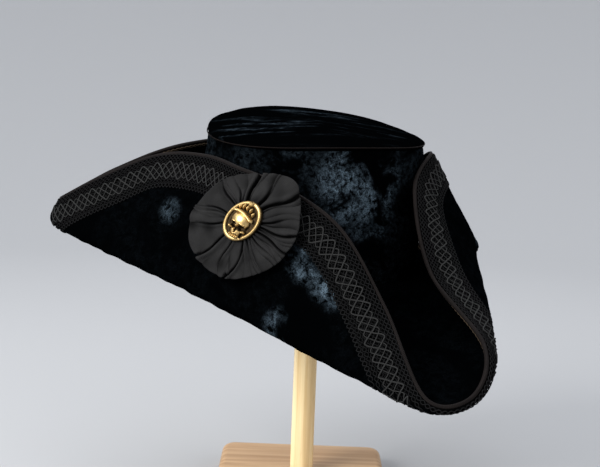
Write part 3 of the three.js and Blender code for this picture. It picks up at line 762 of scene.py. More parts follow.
def crown_top_grid(columns=300):
    """The crown's top: a domed disc that turns over a rounded edge into a short skirt, with its
    underside inside it. Each ring is a share of an oval, set back from the rim's and below it."""
    angle = full_turn(columns)
    disc = np.linspace(0.02, 1, 46)
    turn = np.linspace(0, np.pi / 2, 8)[1:]
    skirt = np.linspace(TOP_EDGE, TOP_SKIRT, 4)[1:]
    share = np.concatenate([disc, 0 * turn + 1, 0 * skirt + 1])[:, None]
    back = np.concatenate([0 * disc + TOP_EDGE, TOP_EDGE * (1 - np.sin(turn)), 0 * skirt])[:, None]
    fall = np.concatenate([0 * disc, TOP_EDGE * (1 - np.cos(turn)), skirt])[:, None]
    height = CROWN_HEIGHT + (rim_height(angle) - CROWN_HEIGHT) * share**TOP_FALL
    height = height + TOP_RISE * (1 - share**2) - fall
    faces = []
    for inset in (0.0, TOP_THICKNESS):
        xy = oval(*(half + TOP_OVERHANG - inset - back for half in TOP_OVAL), angle) * share[..., None]
        faces.append(np.concatenate([xy, height[..., None] - inset], -1))
    outer, inner = faces
    sag = 0.5 * ripples(outer, 60.0, 8) + 0.2 * ripples(outer, 20.0, 9)
    outer[..., 2] += sag * (1 - np.linspace(0, 1, len(outer))[:, None] ** 6)
    return np.concatenate([outer, inner[::-1]])


def piping_path():
    """The seam under the top: an oval just outside the wall, lower at the front."""
    angle = full_turn(360)
    rim = oval(*(half + PIPING_OUT for half in TOP_OVAL), angle)
    drop = PIPING_DROP + PIPING_FRONT_DROP * np.maximum(0, np.cos(angle)) ** 1.5
    return np.concatenate([rim, (rim_height(angle) - drop)[:, None]], -1)


class TRICORN_OT_crown(bpy.types.Operator):
    """Build the crown's velvet wall, its domed top and the piped seam between them"""

    bl_idname = "tricorn.crown"
    bl_label = "Crown"

    def execute(self, context):
        _, colours = settings()
        # The patches paint sheen where the light falls on the crown's wall and top
        velvet = velvet_material("crown_velvet", colours, CROWN_SHEEN_PATCHES, 0.1, broad_scale=32.0)
        side = grid_piece("crown_side_velvet", crown_side_grid(), velvet)
        settle(side, "crown_side", slot="velvet")
        streaked = velvet_material("top_velvet", colours, TOP_SHEEN_PATCHES, 0.03, streaks=(0.28, 1.8, 1.0),
                                   broad_scale=44.0, bare=0.13)
        top = grid_piece("crown_top_velvet", crown_top_grid(), streaked, capped=True)
        settle(top, "crown_top", slot="velvet")
        seam = piping_path()
        lift = np.broadcast_to([0.0, 0.0, 1.0], seam.shape)
        # The cord's lighter brown also paints the seam's highlight
        cord = cord_material("piping_cord", colours.piping)
        piping = tubes_object("crown_piping", [tube_grid(seam, lift, PIPING_RADIUS, 6)], cord)
        settle(piping, slot="velvet")
        return {"FINISHED"}


# Brim and trim

# The crushed relief of the brim: the length of its ripples, and how much of the brim's width they
# take to grow from nothing at the edge
CRUSH_LENGTH, CRUSH_FADE = 16.0, 0.125
# The binding lies this far off the brim and is this thick. It reaches past the edge, and its faces
# wander in and out along its length
BINDING_CLEAR, BINDING_THICK, BINDING_PAST, BINDING_EASE = 0.1, 0.5, 1.2, 0.12


class TRICORN_OT_brim(bpy.types.Operator):
    """Build the velvet brim with its three turned-up flaps"""

    bl_idname = "tricorn.brim"
    bl_label = "Brim"

    def execute(self, context):
        sizes, colours = settings()
        middle = brim_middle()
        normal = surface_normals(middle)
        half = mm(sizes.brim_thickness) / 2
        crush = mm(sizes.crush_depth) * ripples(middle, CRUSH_LENGTH, 3)
        fade = np.clip(np.linspace(0, 1, len(middle)) / CRUSH_FADE, 0, 1)[:, None]
        relief = (crush * fade)[..., None]
        outer = middle + normal * (half + relief)
        inner = middle - normal * (half - relief)
        closed = np.concatenate([outer, inner[::-1]])
        # The patches paint sheen where the light falls on the brim
        velvet = velvet_material("brim_velvet", colours, BRIM_SHEEN_PATCHES, 0.01)
        brim = grid_piece("brim_velvet", closed, velvet)
        settle(brim, "brim", slot="velvet")
        return {"FINISHED"}


def binding_section(outer_width, inner_width, face):
    """The folded binding across the edge as (d, h) pairs: up the outer face, round the edge in a
    half oval, down the inner face, and back along the inside of the fold. Its hems are rounded."""
    top = face + BINDING_THICK
    angle = np.linspace(np.pi / 2, -np.pi / 2, 17)
    section = [(outer_width, face), (outer_width - 0.15, top - 0.25), (outer_width - 0.5, top)]
    section += [(d, top) for d in np.linspace(outer_width - 0.9, 0.4, 3)]
    section += list(zip(-BINDING_PAST * np.cos(angle), top * np.sin(angle)))
    section += [(d, -top) for d in np.linspace(0.4, inner_width - 1.0, 5)]
    section += [(inner_width - 0.5, -top), (inner_width - 0.15, -top + 0.25), (inner_width, -face)]
    section += [(0.8, -face), (0.2, -face * 0.9), (0.2, face * 0.9), (0.8, face)]
    return np.array(section)


class TRICORN_OT_binding(bpy.types.Operator):
    """Build the folded binding over the brim's edge"""

    bl_idname = "tricorn.binding"
    bl_label = "Binding"

    def execute(self, context):
        sizes, colours = settings()
        band = EdgeBand()
        face = mm(sizes.brim_thickness) / 2 + BINDING_CLEAR
        section = binding_section(mm(sizes.binding_width), mm(sizes.binding_inside), face)
        d, h = section[:, :1], section[:, 1:]
        s = np.arange(band.columns) / band.columns * band.length
        ease = BINDING_EASE * ripples(np.stack([s, 0 * s, 0 * s], -1), 30.0, 12)
        grid = band.at(s, d, h + ease * np.sign(h))
        run = np.concatenate([[0], np.cumsum(np.linalg.norm(np.diff(section, axis=0), axis=1))])
        cloth = cloth_material("binding_cloth", colours.binding, ribs=260.0, roughness=0.7)
        piece = grid_piece("binding", grid, cloth, chart=(run, band.length))
        settle(piece, "brim_binding", slot="binding_cloth")
        return {"FINISHED"}


def rounded_zigzag(phase, rounding=0.96):
    """A zigzag from -1 to 1 with rounded corners: the arcsine of a slightly lowered sine."""
    return np.arcsin(np.sin(phase) * rounding) / np.arcsin(rounding)


# Chained threads of the braid: piece, depth of the chain's middle from the edge, half width of its
# links, thread radius, and height over the brim's outer face, or below 0 over its inner face
Chain = namedtuple("Chain", "piece depth half_width radius height")
CHAINS = (
    Chain("braid_upper_border", 3.6, 1.5, 0.45, 1.0),
    Chain("braid_upper_border", 7.0, 1.4, 0.42, 0.9),
    Chain("braid_net", 10.8, 1.7, 0.4, 0.7),
    Chain("braid_net", 14.8, 1.8, 0.4, 0.7),
    Chain("braid_net", 18.8, 1.8, 0.4, 0.7),
    Chain("braid_net", 22.7, 1.7, 0.4, 0.7),
    Chain("braid_lower_border", 26.4, 1.5, 0.42, 0.8),
    Chain("braid_lower_border", 30.2, 1.9, 0.52, 0.7),
    Chain("inner_chain", 2.6, 1.2, 0.45, -1.3),
)

# The braid's ground: its gap from the binding, how far it ends short of the braid's edge, how thick
# it is along its sides and how much thicker in its middle, and its gap from the brim
GROUND_GAP, GROUND_SHORT, GROUND_THICK, GROUND_DOME, GROUND_CLEAR = 0.2, 0.8, 0.35, 0.25, 0.1
GROUND_MIDDLE = 17.0
# The zigzag cords swing this far from the depth of their middle, and the thin pair less far. They
# lie this high over the brim's face, and weave up and down
CORD_MIDDLE, CORD_SWING, THIN_SWING = 16.8, 7.8, 6.2
CORD_LIFT, THIN_LIFT, CORD_WEAVE, THIN_SHARE = 1.45, 1.25, 0.3, 0.7
CORD_STEPS, LINK_STEPS, LINK_WEAVE = 28, 12, 0.25


class TRICORN_OT_braid(bpy.types.Operator):
    """Build the braid: dark ground, chained threads, interlaced zigzag cords and looped border"""

    bl_idname = "tricorn.braid"
    bl_label = "Braid"

    def execute(self, context):
        sizes, colours = settings()
        band = EdgeBand()
        face = mm(sizes.brim_thickness) / 2
        self.ground(band, face, sizes, colours)
        self.knots(band, face, sizes, colours)
        self.chains(band, face, sizes, colours)
        return {"FINISHED"}

    def ground(self, band, face, sizes, colours):
        """A thin dark strip, slightly domed across its width."""
        across = np.linspace(0, 1, 13)
        start, end = mm(sizes.binding_width) + GROUND_GAP, mm(sizes.braid_end) - GROUND_SHORT
        d = start + (end - start) * across
        top = face + GROUND_THICK + GROUND_DOME * np.sin(np.pi * across)
        under = 0 * d + face + GROUND_CLEAR
        section = np.concatenate([[d, top], [d[::-1], under]], 1)
        s, _ = band.even(GROUND_MIDDLE, band.columns)
        grid = band.at(s, section[0][:, None], section[1][:, None])
        dark = ground_material("braid_ground", colours.braid)
        piece = grid_piece("braid_ground", grid, dark, chart=(section[0], band.length))
        settle(piece, "braid_trim", slot="braid")

    def knots(self, band, face, sizes, colours):
        """Two zigzag cords half a pitch apart, weaving over and under each other, with a thinner and
        narrower pair a quarter pitch on."""
        _, line = band.even(CORD_MIDDLE, 1)
        samples = round(line / mm(sizes.knot_pitch)) * CORD_STEPS
        s, _ = band.even(CORD_MIDDLE, samples)
        turn = np.arange(samples) / CORD_STEPS * 2 * np.pi
        strand = np.arange(4)[:, None]
        phase = turn + strand * np.pi / 2
        thin = strand % 2 == 1
        d = CORD_MIDDLE + np.where(thin, THIN_SWING, CORD_SWING) * rounded_zigzag(phase)
        weave = CORD_WEAVE * np.cos(phase + (strand // 2) * np.pi / 2)
        h = face + np.where(thin, THIN_LIFT, CORD_LIFT) + weave
        s = band.square(s, CORD_MIDDLE, d)
        paths = band.at(s, d, h)
        lifts = unit(band.at(s, d, h + 1) - paths)
        radii = mm(sizes.cord_radius) * np.where(thin, THIN_SHARE, 1)
        grids = [tube_grid(path, lift, radius, 6) for path, lift, radius in zip(paths, lifts, radii)]
        piece = tubes_object("braid_knots", grids, cord_material("braid_cord", colours.cord))
        settle(piece, slot="braid")

    def chains(self, band, face, sizes, colours):
        """Rows of small links, each made by two threads that wave against each other."""
        samples = round(band.length / mm(sizes.chain_pitch)) * LINK_STEPS
        turn = np.arange(samples) / LINK_STEPS * 2 * np.pi
        thread = cord_material("braid_thread", colours.braid)
        grids = {}
        for row, chain in enumerate(CHAINS):
            side = np.sign(chain.height)
            height = side * face + chain.height
            s, _ = band.even(chain.depth, samples)
            line = band.at(s, chain.depth, height)
            lift = unit(band.at(s, chain.depth, height + 1) - line)
            across = unit(np.cross(lift, np.roll(line, -3, 0) - np.roll(line, 3, 0)))
            for against in (0, np.pi):
                phase = (turn + against + row * np.pi / 2)[:, None]
                swing = across * chain.half_width * np.sin(phase)
                path = line + swing + lift * side * LINK_WEAVE * np.cos(phase)
                grids.setdefault(chain.piece, []).append(tube_grid(path, lift, chain.radius, 4))
        brown = cord_material("inner_thread", colours.inner_thread)
        for name, tubes in grids.items():
            piece = tubes_object(name, tubes, brown if name == "inner_chain" else thread)
            settle(piece, slot="braid")


# Rosette and badge

# The rosette's place on the left flap: the column of the brim out of so many, its depth from the
# edge, and how far it is then lifted off and moved to the back; it leans out towards the front
ROSETTE_COLUMN, ROSETTE_COLUMNS, ROSETTE_DEPTH = 13, 78, 43.0
ROSETTE_LIFT, ROSETTE_BACK, ROSETTE_LEAN = 4.8, 6.5, np.radians(5)


def rosette_frame():
    """Middle and axes of the rosette on the left flap: X along the flap, Y up it, Z outwards. The
    axes come from the brim 4 mm above and below the middle, and one column before and after it."""
    path, arcs = brim_paths(ROSETTE_COLUMNS)
    depths = ROSETTE_DEPTH + np.array([-4.0, 0.0, 4.0])
    points = along_paths(path, arcs, np.broadcast_to(depths, (ROSETTE_COLUMNS, 3)))
    near = points[:, ROSETTE_COLUMN - 1:ROSETTE_COLUMN + 2]
    (_, above, _), (before, middle, after), (_, below, _) = near
    up = unit(above - below)
    out = unit(np.cross(after - before, up))
    x = np.cross(up, out)
    cos, sin = np.cos(ROSETTE_LEAN), np.sin(ROSETTE_LEAN)
    along = x * cos - out * sin
    middle = middle + out * ROSETTE_LIFT + along * ROSETTE_BACK
    return middle, np.stack([along, up, out * cos + x * sin])


def on_rosette(points):
    """Points of the rosette's own frame into the hat frame."""
    middle, axes = rosette_frame()
    return np.asarray(points) @ axes + middle


# Creases of the rosette: angle in degrees from its back end, how far out they run as a share of
# the radius (over 1 cuts the rim), depth in mm, and how far they sway sideways in degrees
Crease = namedtuple("Crease", "angle reach depth sway")
CREASES = (
    Crease(0, 1.2, 3.0, 5), Crease(17, 0.70, 2.6, 4), Crease(44, 1.2, 3.2, -3),
    Crease(62, 0.75, 3.6, 5), Crease(87, 1.2, 4.6, -2), Crease(108, 0.70, 3.0, 5),
    Crease(127, 0.95, 2.0, 3), Crease(163, 0.80, 3.4, 5), Crease(191, 0.90, 2.4, 2),
    Crease(228, 1.2, 3.6, -4), Crease(251, 0.90, 2.0, 6), Crease(286, 1.2, 5.0, -34),
    Crease(297, 0.60, 2.8, 0), Crease(325, 0.85, 2.2, 4), Crease(344, 1.2, 3.4, 4),
)
# Small creases between them: how many, and the least and most of each column of the table
SMALL_CREASES, SMALL_LEAST, SMALL_MOST = 26, (0, 0.35, 0.5, -9), (360, 0.85, 1.5, 9)
# A crease's half width in mm, how much wider one that cuts the rim is there, and how deep it is for
# each mm of its depth; the raised fold beside it lies so many half widths off and is so many wide;
# and the share of the radius over which a crease runs out
CREASE_WIDTH, CUT_WIDER, CREASE_DEPTH = 0.75, 0.35, 1.25
LIP_AWAY, LIP_WIDE, RUN_OUT = 2.2, 2.4, 0.35
# The circle in mm round which the distance from a crease is measured
CREASE_CIRCLE = 50.0

# The rim's size as a share of the rosette's, and its stretch along one direction in degrees
RIM_SIZE, RIM_STRETCH, STRETCH_TOWARDS = 0.965, 0.075, 47
# What stands out of the rim or falls short of it: direction and spread in degrees, share of the size
RimForm = namedtuple("RimForm", "towards spread share")
RIM_FORMS = (RimForm(52, 20, 0.2), RimForm(-75, 45, -0.045))

# The ribbon's height in the middle and how far it falls to the rim; the badge's hole in it as a
# share of its radius; and where the creases meet, off the rosette's middle
RIBBON_TOP, RIBBON_FALL, RIBBON_HOLE, GATHER_PLACE = 8.0, 3.6, 0.12, (3.0, 4.8)
RIBBON_THICK, RIBBON_LOWEST = 0.9, 0.2
# The ribbon's UV map: the rosette as a strip as wide as its radius and as long as its rim
STRIP_WIDTH, STRIP_LENGTH = 45.0, 280.0


def rosette_creases(angle, share):
    """The creases over a polar grid of angle and share of the radius, as three fields: the depth of
    the valleys in mm; the raised fold beside them, 0 to 1; and the way from one crease to the next,
    0 to 1. The creases sway from the middle to the rim."""
    random = np.random.default_rng(41)
    small = random.uniform(SMALL_LEAST, SMALL_MOST, (SMALL_CREASES, 4))
    table = np.concatenate([np.array(CREASES, dtype=float), small])
    places, sway = np.radians(table[:, 0]), np.radians(table[:, 3])
    reach, depth = table[:, 1], table[:, 2]
    share = share[..., None]
    wander = sway * (share - 0.4) + 0.05 * np.sin(7 * share + 7 * places)
    away = (angle[None, :, None] - places - wander + np.pi) % (2 * np.pi) - np.pi
    across = away * share * CREASE_CIRCLE
    width = CREASE_WIDTH + CUT_WIDER * share * (reach > 1)
    fade = np.clip((reach + 0.05 - share) / RUN_OUT, 0, 1)
    valley = (CREASE_DEPTH * depth * np.exp(-((across / width) ** 2)) * fade).max(-1)
    lip = (np.exp(-np.abs((across - LIP_AWAY * width) / (LIP_WIDE * width)) ** 3) * fade).max(-1)
    ahead = np.where(away >= 0, away, 9.0).min(-1)
    behind = np.where(away < 0, -away, 9.0).min(-1)
    return valley, lip, ahead / (ahead + behind)


def rosette_rim(angle, plane, valley, bulge):
    """The rim as a share of its oval: stretched one way, uneven, and cut in by the creases."""
    grow = RIM_SIZE + RIM_STRETCH * np.cos(2 * (angle - np.radians(STRETCH_TOWARDS)))
    grow = grow + 0.012 * ripples(plane, 0.8, 34)
    degrees = (np.degrees(angle) + 180) % 360 - 180
    for form in RIM_FORMS:
        grow = grow + form.share * np.exp(-(((degrees - form.towards) / form.spread) ** 2))
    return grow - 0.05 * valley / 4 + 0.01 * bulge


def rosette_grid(sizes, columns=600, rows=44):
    """Gathered ribbon: a polar grid round the badge that falls from the middle to an uneven rim.
    The cloth bulges between neighbouring creases, and every crease is a narrow valley with a
    raised lip on one side, as the fold beside it lies over the next. Also returned is painted
    shade, 0 to 1: in the valleys, behind each fold and towards the badge, less a painted highlight on
    the lips, with a little random unevenness."""
    angle = full_turn(columns)
    share = np.linspace(RIBBON_HOLE, 1, rows)[:, None]
    valley, lip, part = rosette_creases(angle, share)
    bulge = 4 * part * (1 - part)
    plane = np.stack([share * np.cos(angle), share * np.sin(angle), 0 * share * angle], -1)
    height = RIBBON_TOP - RIBBON_FALL * np.clip((share - 0.35) / 0.65, 0, 1) ** 1.2
    height = height - valley * (1 - 0.2 * share)
    height = height + (1.5 * lip + 0.7 * bulge) * np.minimum(1, 1.3 * share)
    height = height + (0.7 * ripples(plane, 0.6, 33) + 0.2 * ripples(plane, 0.2, 35)) * share
    grow = rosette_rim(angle, plane[-1], valley[-1], bulge[-1])
    halves = mm(sizes.rosette_half_width), mm(sizes.rosette_half_height)
    x, y = (gather * (1 - share) + half * plane[..., axis] * grow
            for axis, (gather, half) in enumerate(zip(GATHER_PLACE, halves)))
    # Painted shade behind each fold and towards the badge, and a painted highlight on the lips
    behind = 0.6 * (1 - part) ** 2 * np.clip(share * 1.6, 0, 1)
    lit = 0.25 * lip * np.clip(share * 1.4 - 0.3, 0, 1)
    shade = behind - lit + 0.3 * np.clip((0.5 - share) / 0.3, 0, 1) + 0.2 * ripples(plane, 0.35, 36)
    return np.stack([x, y, height], -1), np.clip(valley / 2.6 + shade, 0, 1)


class TRICORN_OT_rosette(bpy.types.Operator):
    """Build the gathered ribbon rosette"""

    bl_idname = "tricorn.rosette"
    bl_label = "Rosette"

    def execute(self, context):
        sizes, colours = settings()
        front, painted_shade = rosette_grid(sizes)
        back = front * np.array([0.995, 0.995, 1])
        back[..., 2] = np.maximum(back[..., 2] - RIBBON_THICK, RIBBON_LOWEST)
        grid = np.concatenate([front, back[::-1]])
        out = np.linspace(RIBBON_HOLE, 1, len(front)) * STRIP_WIDTH
        chart = (np.concatenate([out, out[::-1]]), STRIP_LENGTH)
        ribbon = cloth_material("ribbon_cloth", colours.ribbon, ribs=330.0, roughness=0.9,
                                shade="crease")
        piece = grid_piece("rosette_ribbon", on_rosette(grid), ribbon, capped=True, chart=chart)
        # The crease value is painted shade and highlight
        spread_value(piece, "crease", np.concatenate([painted_shade, painted_shade[::-1]]), 0.0)
        settle(piece, "cockade", slot="ribbon")
        return {"FINISHED"}


def mirrored(forms):
    """The forms and their copies on the other side of the face."""
    return forms + tuple(form._replace(across=-form.across) for form in forms)


# Relief of the badge in mm, its own up direction being the skull's: half width, half height and
# top of each swelling over the badge's back, then its middle
Swelling = namedtuple("Swelling", "form wide tall top across up")
SWELLINGS = (
    Swelling("skull", 8.2, 7.4, 7.2, 0.0, 1.2), Swelling("jaw", 5.4, 4.6, 6.4, 0.0, -6.0),
    Swelling("nose bridge", 0.9, 2.0, 7.4, 0.0, -2.2), Swelling("upper lip", 3.6, 1.3, 6.8, 0.0, -7.6),
    Swelling("middle tooth", 0.85, 1.8, 6.6, 0.0, -9.9),
    Swelling("point 1", 1.1, 2.2, 5.4, -4.4, 10.2), Swelling("point 2", 1.0, 2.5, 5.8, -1.4, 11.3),
    Swelling("point 3", 1.1, 2.6, 6.2, 1.9, 11.7), Swelling("point 4", 1.0, 2.5, 5.8, 5.0, 11.0),
    Swelling("point 5", 1.1, 2.2, 5.4, 7.6, 9.2), Swelling("knob", 1.5, 1.5, 6.4, 3.2, 14.6),
    Swelling("knob arm", 2.4, 0.8, 5.8, 3.0, 15.8),
) + mirrored((
    Swelling("brow", 3.5, 1.2, 7.6, 3.3, -0.3), Swelling("cheek", 2.6, 1.5, 6.6, 5.2, -4.6),
    Swelling("inner tooth", 0.85, 1.7, 6.4, 1.65, -9.8),
    Swelling("outer tooth", 0.8, 1.5, 6.0, 3.2, -9.4),
))
Pit = namedtuple("Pit", "form wide tall depth across up")
PITS = (
    Pit("nose", 1.2, 1.7, 3.2, 0.0, -5.3), Pit("mouth line", 3.4, 0.35, 1.2, 0.0, -8.5),
) + mirrored((
    Pit("socket", 2.5, 2.1, 4.2, 3.2, -2.7), Pit("temple", 1.0, 2.2, 1.6, 7.4, -2.2),
    Pit("jaw hollow", 1.1, 1.7, 2.4, 4.8, -7.6),
))
# The skull is turned in the oval, a little larger than drawn, and lies below the middle
SKULL_TURN, SKULL_GROWTH, SKULL_ACROSS, SKULL_UP = np.radians(34), 1.16, -0.6, -1.6
# The flat plate, and the round ring on it: its middle and half width as shares of the oval
PLATE_TOP, PLATE_LEAST, RING_FOOT, RING_RISE = 1.6, 1.3, 1.7, 1.8
RING_MIDDLE, RING_HALF = 0.895, 0.105
# The band of the badge's crown: how far it rises over the plate, its half width, its middle and half
# length across the face, where it lies up the face, and its bend and slope
BAND_RISE, BAND_HALF, BAND_MIDDLE, BAND_REACH, BAND_UP = 5.8, 1.3, 1.0, 7.8, 7.6
BAND_BEND, BAND_SLOPE = 0.03, 0.12
# How softly two forms join, and how deep and wide the patina is where they meet
JOIN, CREVICE_DEPTH, CREVICE_WIDTH = 0.18, 2.6, 0.4
# The badge on the rosette: its long axis against the flap's up direction, and its place
BADGE_TURN, BADGE_PLACE = np.radians(-48), (3.0, 4.8, 8.3)


def dome(inside):
    """Height of a round form of height one, from what is left of 1 inside it; 0 outside."""
    return np.sqrt(np.maximum(inside, 0))


def off_middle(x, y, form):
    """Squared distance from the form's middle, 1 on its oval."""
    return ((x - form.across) / form.wide) ** 2 + ((y - form.up) / form.tall) ** 2


def badge_height(x, y, rim):
    """Height of the cast face: plate, ring and relief joined by a soft maximum, less the pits.
    rim runs from 0 in the middle to 1 at the edge. Also returned is the height as the patina
    takes it, lower in the pits and in the crevices where two forms meet."""
    plate = PLATE_TOP + 0 * x
    ring = RING_FOOT + RING_RISE * dome(1 - ((rim - RING_MIDDLE) / RING_HALF) ** 2)
    ring = np.where(rim > RING_MIDDLE - RING_HALF, ring, 0)
    cos, sin = np.cos(SKULL_TURN) / SKULL_GROWTH, np.sin(SKULL_TURN) / SKULL_GROWTH
    x, y = x * cos + y * sin - SKULL_ACROSS, y * cos - x * sin - SKULL_UP
    off = x - BAND_MIDDLE
    arch = y - BAND_UP + BAND_BEND * off**2 + BAND_SLOPE * x
    band = PLATE_TOP + BAND_RISE * dome(1 - (arch / BAND_HALF) ** 2) * (np.abs(off) < BAND_REACH)
    layers = [plate, ring, band]
    layers += [form.top * dome(1 - off_middle(x, y, form)) for form in SWELLINGS]
    ordered = np.sort(np.stack(layers), axis=0)
    second, first = ordered[-2:]
    height = JOIN * np.log(np.exp(ordered / JOIN).sum(0))
    crevice = np.exp(-(((first - second) / CREVICE_WIDTH) ** 2)) * (second > PLATE_TOP + 0.05)
    worn = height - CREVICE_DEPTH * crevice
    for pit in PITS:
        hollow = pit.depth * np.exp(-(off_middle(x, y, pit) ** 2))
        height = height - hollow
        worn = worn - 2 * hollow
    return np.maximum(height, PLATE_LEAST), worn


# How finely the badge's face is meshed
BADGE_SIDES, BADGE_RINGS = 220, 84


class TRICORN_OT_badge(bpy.types.Operator):
    """Build the cast badge: oval plate, raised ring and a crowned skull in relief"""

    bl_idname = "tricorn.badge"
    bl_label = "Badge"

    def execute(self, context):
        sizes, colours = settings()
        angle = full_turn(BADGE_SIDES)
        rim = np.linspace(0.012, 1, BADGE_RINGS)[:, None]
        plane = oval(mm(sizes.badge_half_width), mm(sizes.badge_half_length), angle) * rim[..., None]
        height, worn = badge_height(plane[..., 0], plane[..., 1], rim + 0 * angle)
        face = np.concatenate([plane, height[..., None]], -1)
        back = [face[-1] * np.array([share, share, 0]) + np.array([0, 0, z])
                for share, z in ((1, 1.0), (1, 0.5), (0.985, 0), (0.7, 0), (0.3, 0))]
        grid = np.concatenate([face, np.array(back)])
        turn = np.array(Euler((0, 0, -BADGE_TURN)).to_matrix())
        placed = on_rosette(grid @ turn + np.array(BADGE_PLACE))
        brass = brass_material("badge_brass", colours.brass)
        piece = grid_piece("badge_cast", placed, brass, capped=True)
        relief = np.concatenate([worn, np.array(back)[..., 2]])
        spread_value(piece, "relief", relief, 6.0)
        settle(piece, "badge", slot="antique_brass")
        return {"FINISHED"}


# Stand

# The board's thickness, and the radius of its corners and of its top edge; then the cap's radius and
# the height of its rim, above which the dome begins
BOARD_THICK, BOARD_CORNER, BOARD_EDGE = 20.0, 13.0, 7.0
CAP_RADIUS, CAP_RIM = 45.0, 9.0
# The post goes this far into the board and into the cap
POST_SUNK = 0.2


def stacked(outlines, height):
    """Flat outlines (rings, points, 2) each at its own height."""
    z = np.broadcast_to(height[:, None, None], (*outlines.shape[:2], 1))
    return np.concatenate([outlines, z], -1)


def rounded_square_rings(side, corner, rings, steps=10):
    """Rings of a rounded square, one for each (inset, height); quarter circles at the corners."""
    quarter = np.linspace(0, np.pi / 2, steps)
    angle = (quarter + np.arange(4)[:, None] * np.pi / 2).ravel()
    centre = np.repeat(np.array([[1, 1], [-1, 1], [-1, -1], [1, -1]]), steps, 0)
    inset, height = np.array(rings).T
    radius = (corner - inset)[:, None, None]
    return stacked(centre * (side / 2 - corner) + radius * oval(1, 1, angle), height)


def lathe_rings(profile, sides=64):
    """Rings of a turned shape, one for each (radius, height)."""
    radius, height = np.array(profile, dtype=float).T
    return stacked(radius[:, None, None] * oval(1, 1, full_turn(sides)), height)


class TRICORN_OT_stand(bpy.types.Operator):
    """Build the stand: rounded board, round post and the low cap inside the crown"""

    bl_idname = "tricorn.stand"
    bl_label = "Stand"

    def execute(self, context):
        sizes, colours = settings()
        tan = wood_material("board_wood", colours.board, (0.30, 0.17, 0.075), (1 / 18, 1, 1), 95.0)
        pine = wood_material("post_wood", colours.post, (0.62, 0.43, 0.20), (1, 1, 1 / 30), 130.0)
        cap_under, cap_top = (corner[2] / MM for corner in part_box("stand_cap"))
        post_heights = np.linspace(BOARD_THICK - POST_SUNK, cap_under + POST_SUNK, 40)
        post = lathe_rings([(mm(sizes.post_radius), z) for z in post_heights])
        board = rounded_square_rings(mm(sizes.board_side), BOARD_CORNER, self.board_edge())
        cap = lathe_rings(self.cap_profile(cap_under, cap_top))
        self.place("board", board, tan, "stand_base", "board_wood")
        self.place("post", post, pine, "stand_post", "post_wood")
        self.place("cap", cap, pine, "stand_cap", "post_wood")
        return {"FINISHED"}

    def place(self, name, grid, wood, node, slot):
        settle(grid_piece(name, grid, wood, capped=True, in_hat=False), node, slot=slot)

    def board_edge(self):
        """(inset, height) up the board's side: a small round below and a larger one above."""
        turn = np.linspace(0, np.pi / 2, 9)
        edge = [(1.0, 0.0), (0.6, 0.2), (0.2, 0.6), (0.0, 1.0), (0.0, 5.0), (0.0, 9.0)]
        inset, drop = BOARD_EDGE * (1 - np.cos(turn)), BOARD_EDGE * (1 - np.sin(turn))
        return edge + list(zip(inset, BOARD_THICK - drop))

    def cap_profile(self, under, top):
        """(radius, height) of the cap: a flat underside, a rounded rim and a low dome, which closes
        in a ring of 0.3 mm radius."""
        turn = np.linspace(0, np.pi / 2, 12)
        rim = [(0.5, under), (42.0, under), (44.2, under + 0.9), (CAP_RADIUS, under + 3.0)]
        radius = CAP_RADIUS * np.cos(turn) + 0.3 * (turn > 1.5)
        return rim + list(zip(radius, under + CAP_RIM + (top - under - CAP_RIM) * np.sin(turn)))


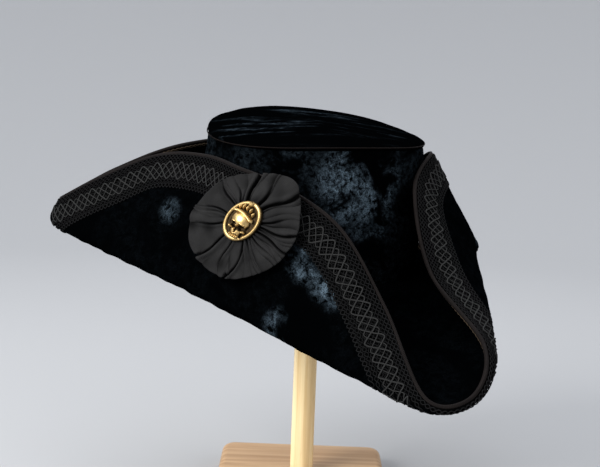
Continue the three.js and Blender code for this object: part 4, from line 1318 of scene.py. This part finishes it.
class TRICORN_OT_stage(bpy.types.Operator):
    """Set the pale floor and backdrop, the soft lights and the camera"""

    bl_idname = "tricorn.stage"
    bl_label = "Stage"

    def execute(self, context):
        view = context.scene.tricorn_view
        pale = Nodes("pale_paper").finish((0.33, 0.331, 0.333), 0.95, Specular_IOR_Level=0.0)
        bowl = lathe_rings(self.paper_profile(), 96)
        quads, _ = grid_quads(*bowl.shape[:2])
        new_object("paper", bowl.reshape(-1, 3), [quads], pale)
        camera_data = bpy.data.cameras.new("camera")
        camera_data.lens = view.lens
        camera_data.sensor_width = 36.0
        camera = bpy.data.objects.new("camera", camera_data)
        camera.location = (view.aside, -view.distance, view.height)
        tilt = Euler((np.pi / 2 - view.pitch, 0, 0)).to_matrix()
        camera.rotation_euler = (tilt @ Euler((0, 0, view.roll)).to_matrix()).to_euler()
        context.scene.collection.objects.link(camera)
        context.scene.camera = camera
        self.light("key", (-1.3, -1.0, 1.1), 1.0, view.power)
        self.light("fill", (1.4, -0.9, 0.9), 1.2, view.power * 0.2)
        self.light("back", (0.2, 0.9, 1.9), 1.4, view.power * 0.25)
        world = bpy.data.worlds.new("room")
        world.use_nodes = True
        sky = world.node_tree.nodes["Background"].inputs
        sky["Color"].default_value = (0.88, 0.92, 1.0, 1)
        sky["Strength"].default_value = 1.5
        context.scene.world = world
        context.scene.view_settings.view_transform = "Standard"
        return {"FINISHED"}

    def paper_profile(self):
        """(radius, height) of the paper in metres: flat, then bent up into a wall all round."""
        flat, bend = 1.4, 1.6
        turn = np.radians(np.linspace(4, 60, 15))
        curve = list(zip(flat + bend * np.sin(turn), bend * (1 - np.cos(turn))))
        return [(0.01, 0.0), (0.6, 0.0), (flat, 0.0), *curve, (3.4, 1.85)]

    def light(self, name, place, size, power):
        """A square area light that is aimed at the hat."""
        data = bpy.data.lights.new(name, "AREA")
        data.size = size
        data.energy = power
        lamp = bpy.data.objects.new(name, data)
        lamp.location = place
        aim = Vector((0.0, 0.0, 0.24)) - Vector(place)
        lamp.rotation_euler = aim.to_track_quat("-Z", "Y").to_euler()
        bpy.context.scene.collection.objects.link(lamp)


STEPS = (
    TRICORN_OT_stand, TRICORN_OT_crown, TRICORN_OT_brim, TRICORN_OT_binding,
    TRICORN_OT_braid, TRICORN_OT_rosette, TRICORN_OT_badge, TRICORN_OT_stage,
)


class TRICORN_PT_panel(bpy.types.Panel):
    """Lists the pieces in the order they are built"""

    bl_idname = "TRICORN_PT_panel"
    bl_label = "Tricorn hat"
    bl_space_type = "VIEW_3D"
    bl_region_type = "UI"
    bl_category = "Tricorn"

    def draw(self, context):
        for step in STEPS:
            self.layout.operator(step.bl_idname)


CLASSES = (TricornSizes, TricornColours, TricornView, *STEPS, TRICORN_PT_panel)


def register():
    for cls in CLASSES:
        bpy.utils.register_class(cls)
    bpy.types.Scene.tricorn_sizes = PointerProperty(type=TricornSizes)
    bpy.types.Scene.tricorn_colours = PointerProperty(type=TricornColours)
    bpy.types.Scene.tricorn_view = PointerProperty(type=TricornView)


def unregister():
    for name in ("tricorn_sizes", "tricorn_colours", "tricorn_view"):
        delattr(bpy.types.Scene, name)
    for cls in reversed(CLASSES):
        bpy.utils.unregister_class(cls)


def main():
    """Registers the add-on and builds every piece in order."""
    register()
    bpy.ops.tricorn.stand()
    bpy.ops.tricorn.crown()
    bpy.ops.tricorn.brim()
    bpy.ops.tricorn.binding()
    bpy.ops.tricorn.braid()
    bpy.ops.tricorn.rosette()
    bpy.ops.tricorn.badge()
    bpy.ops.tricorn.stage()


if __name__ == "__main__":
    main()
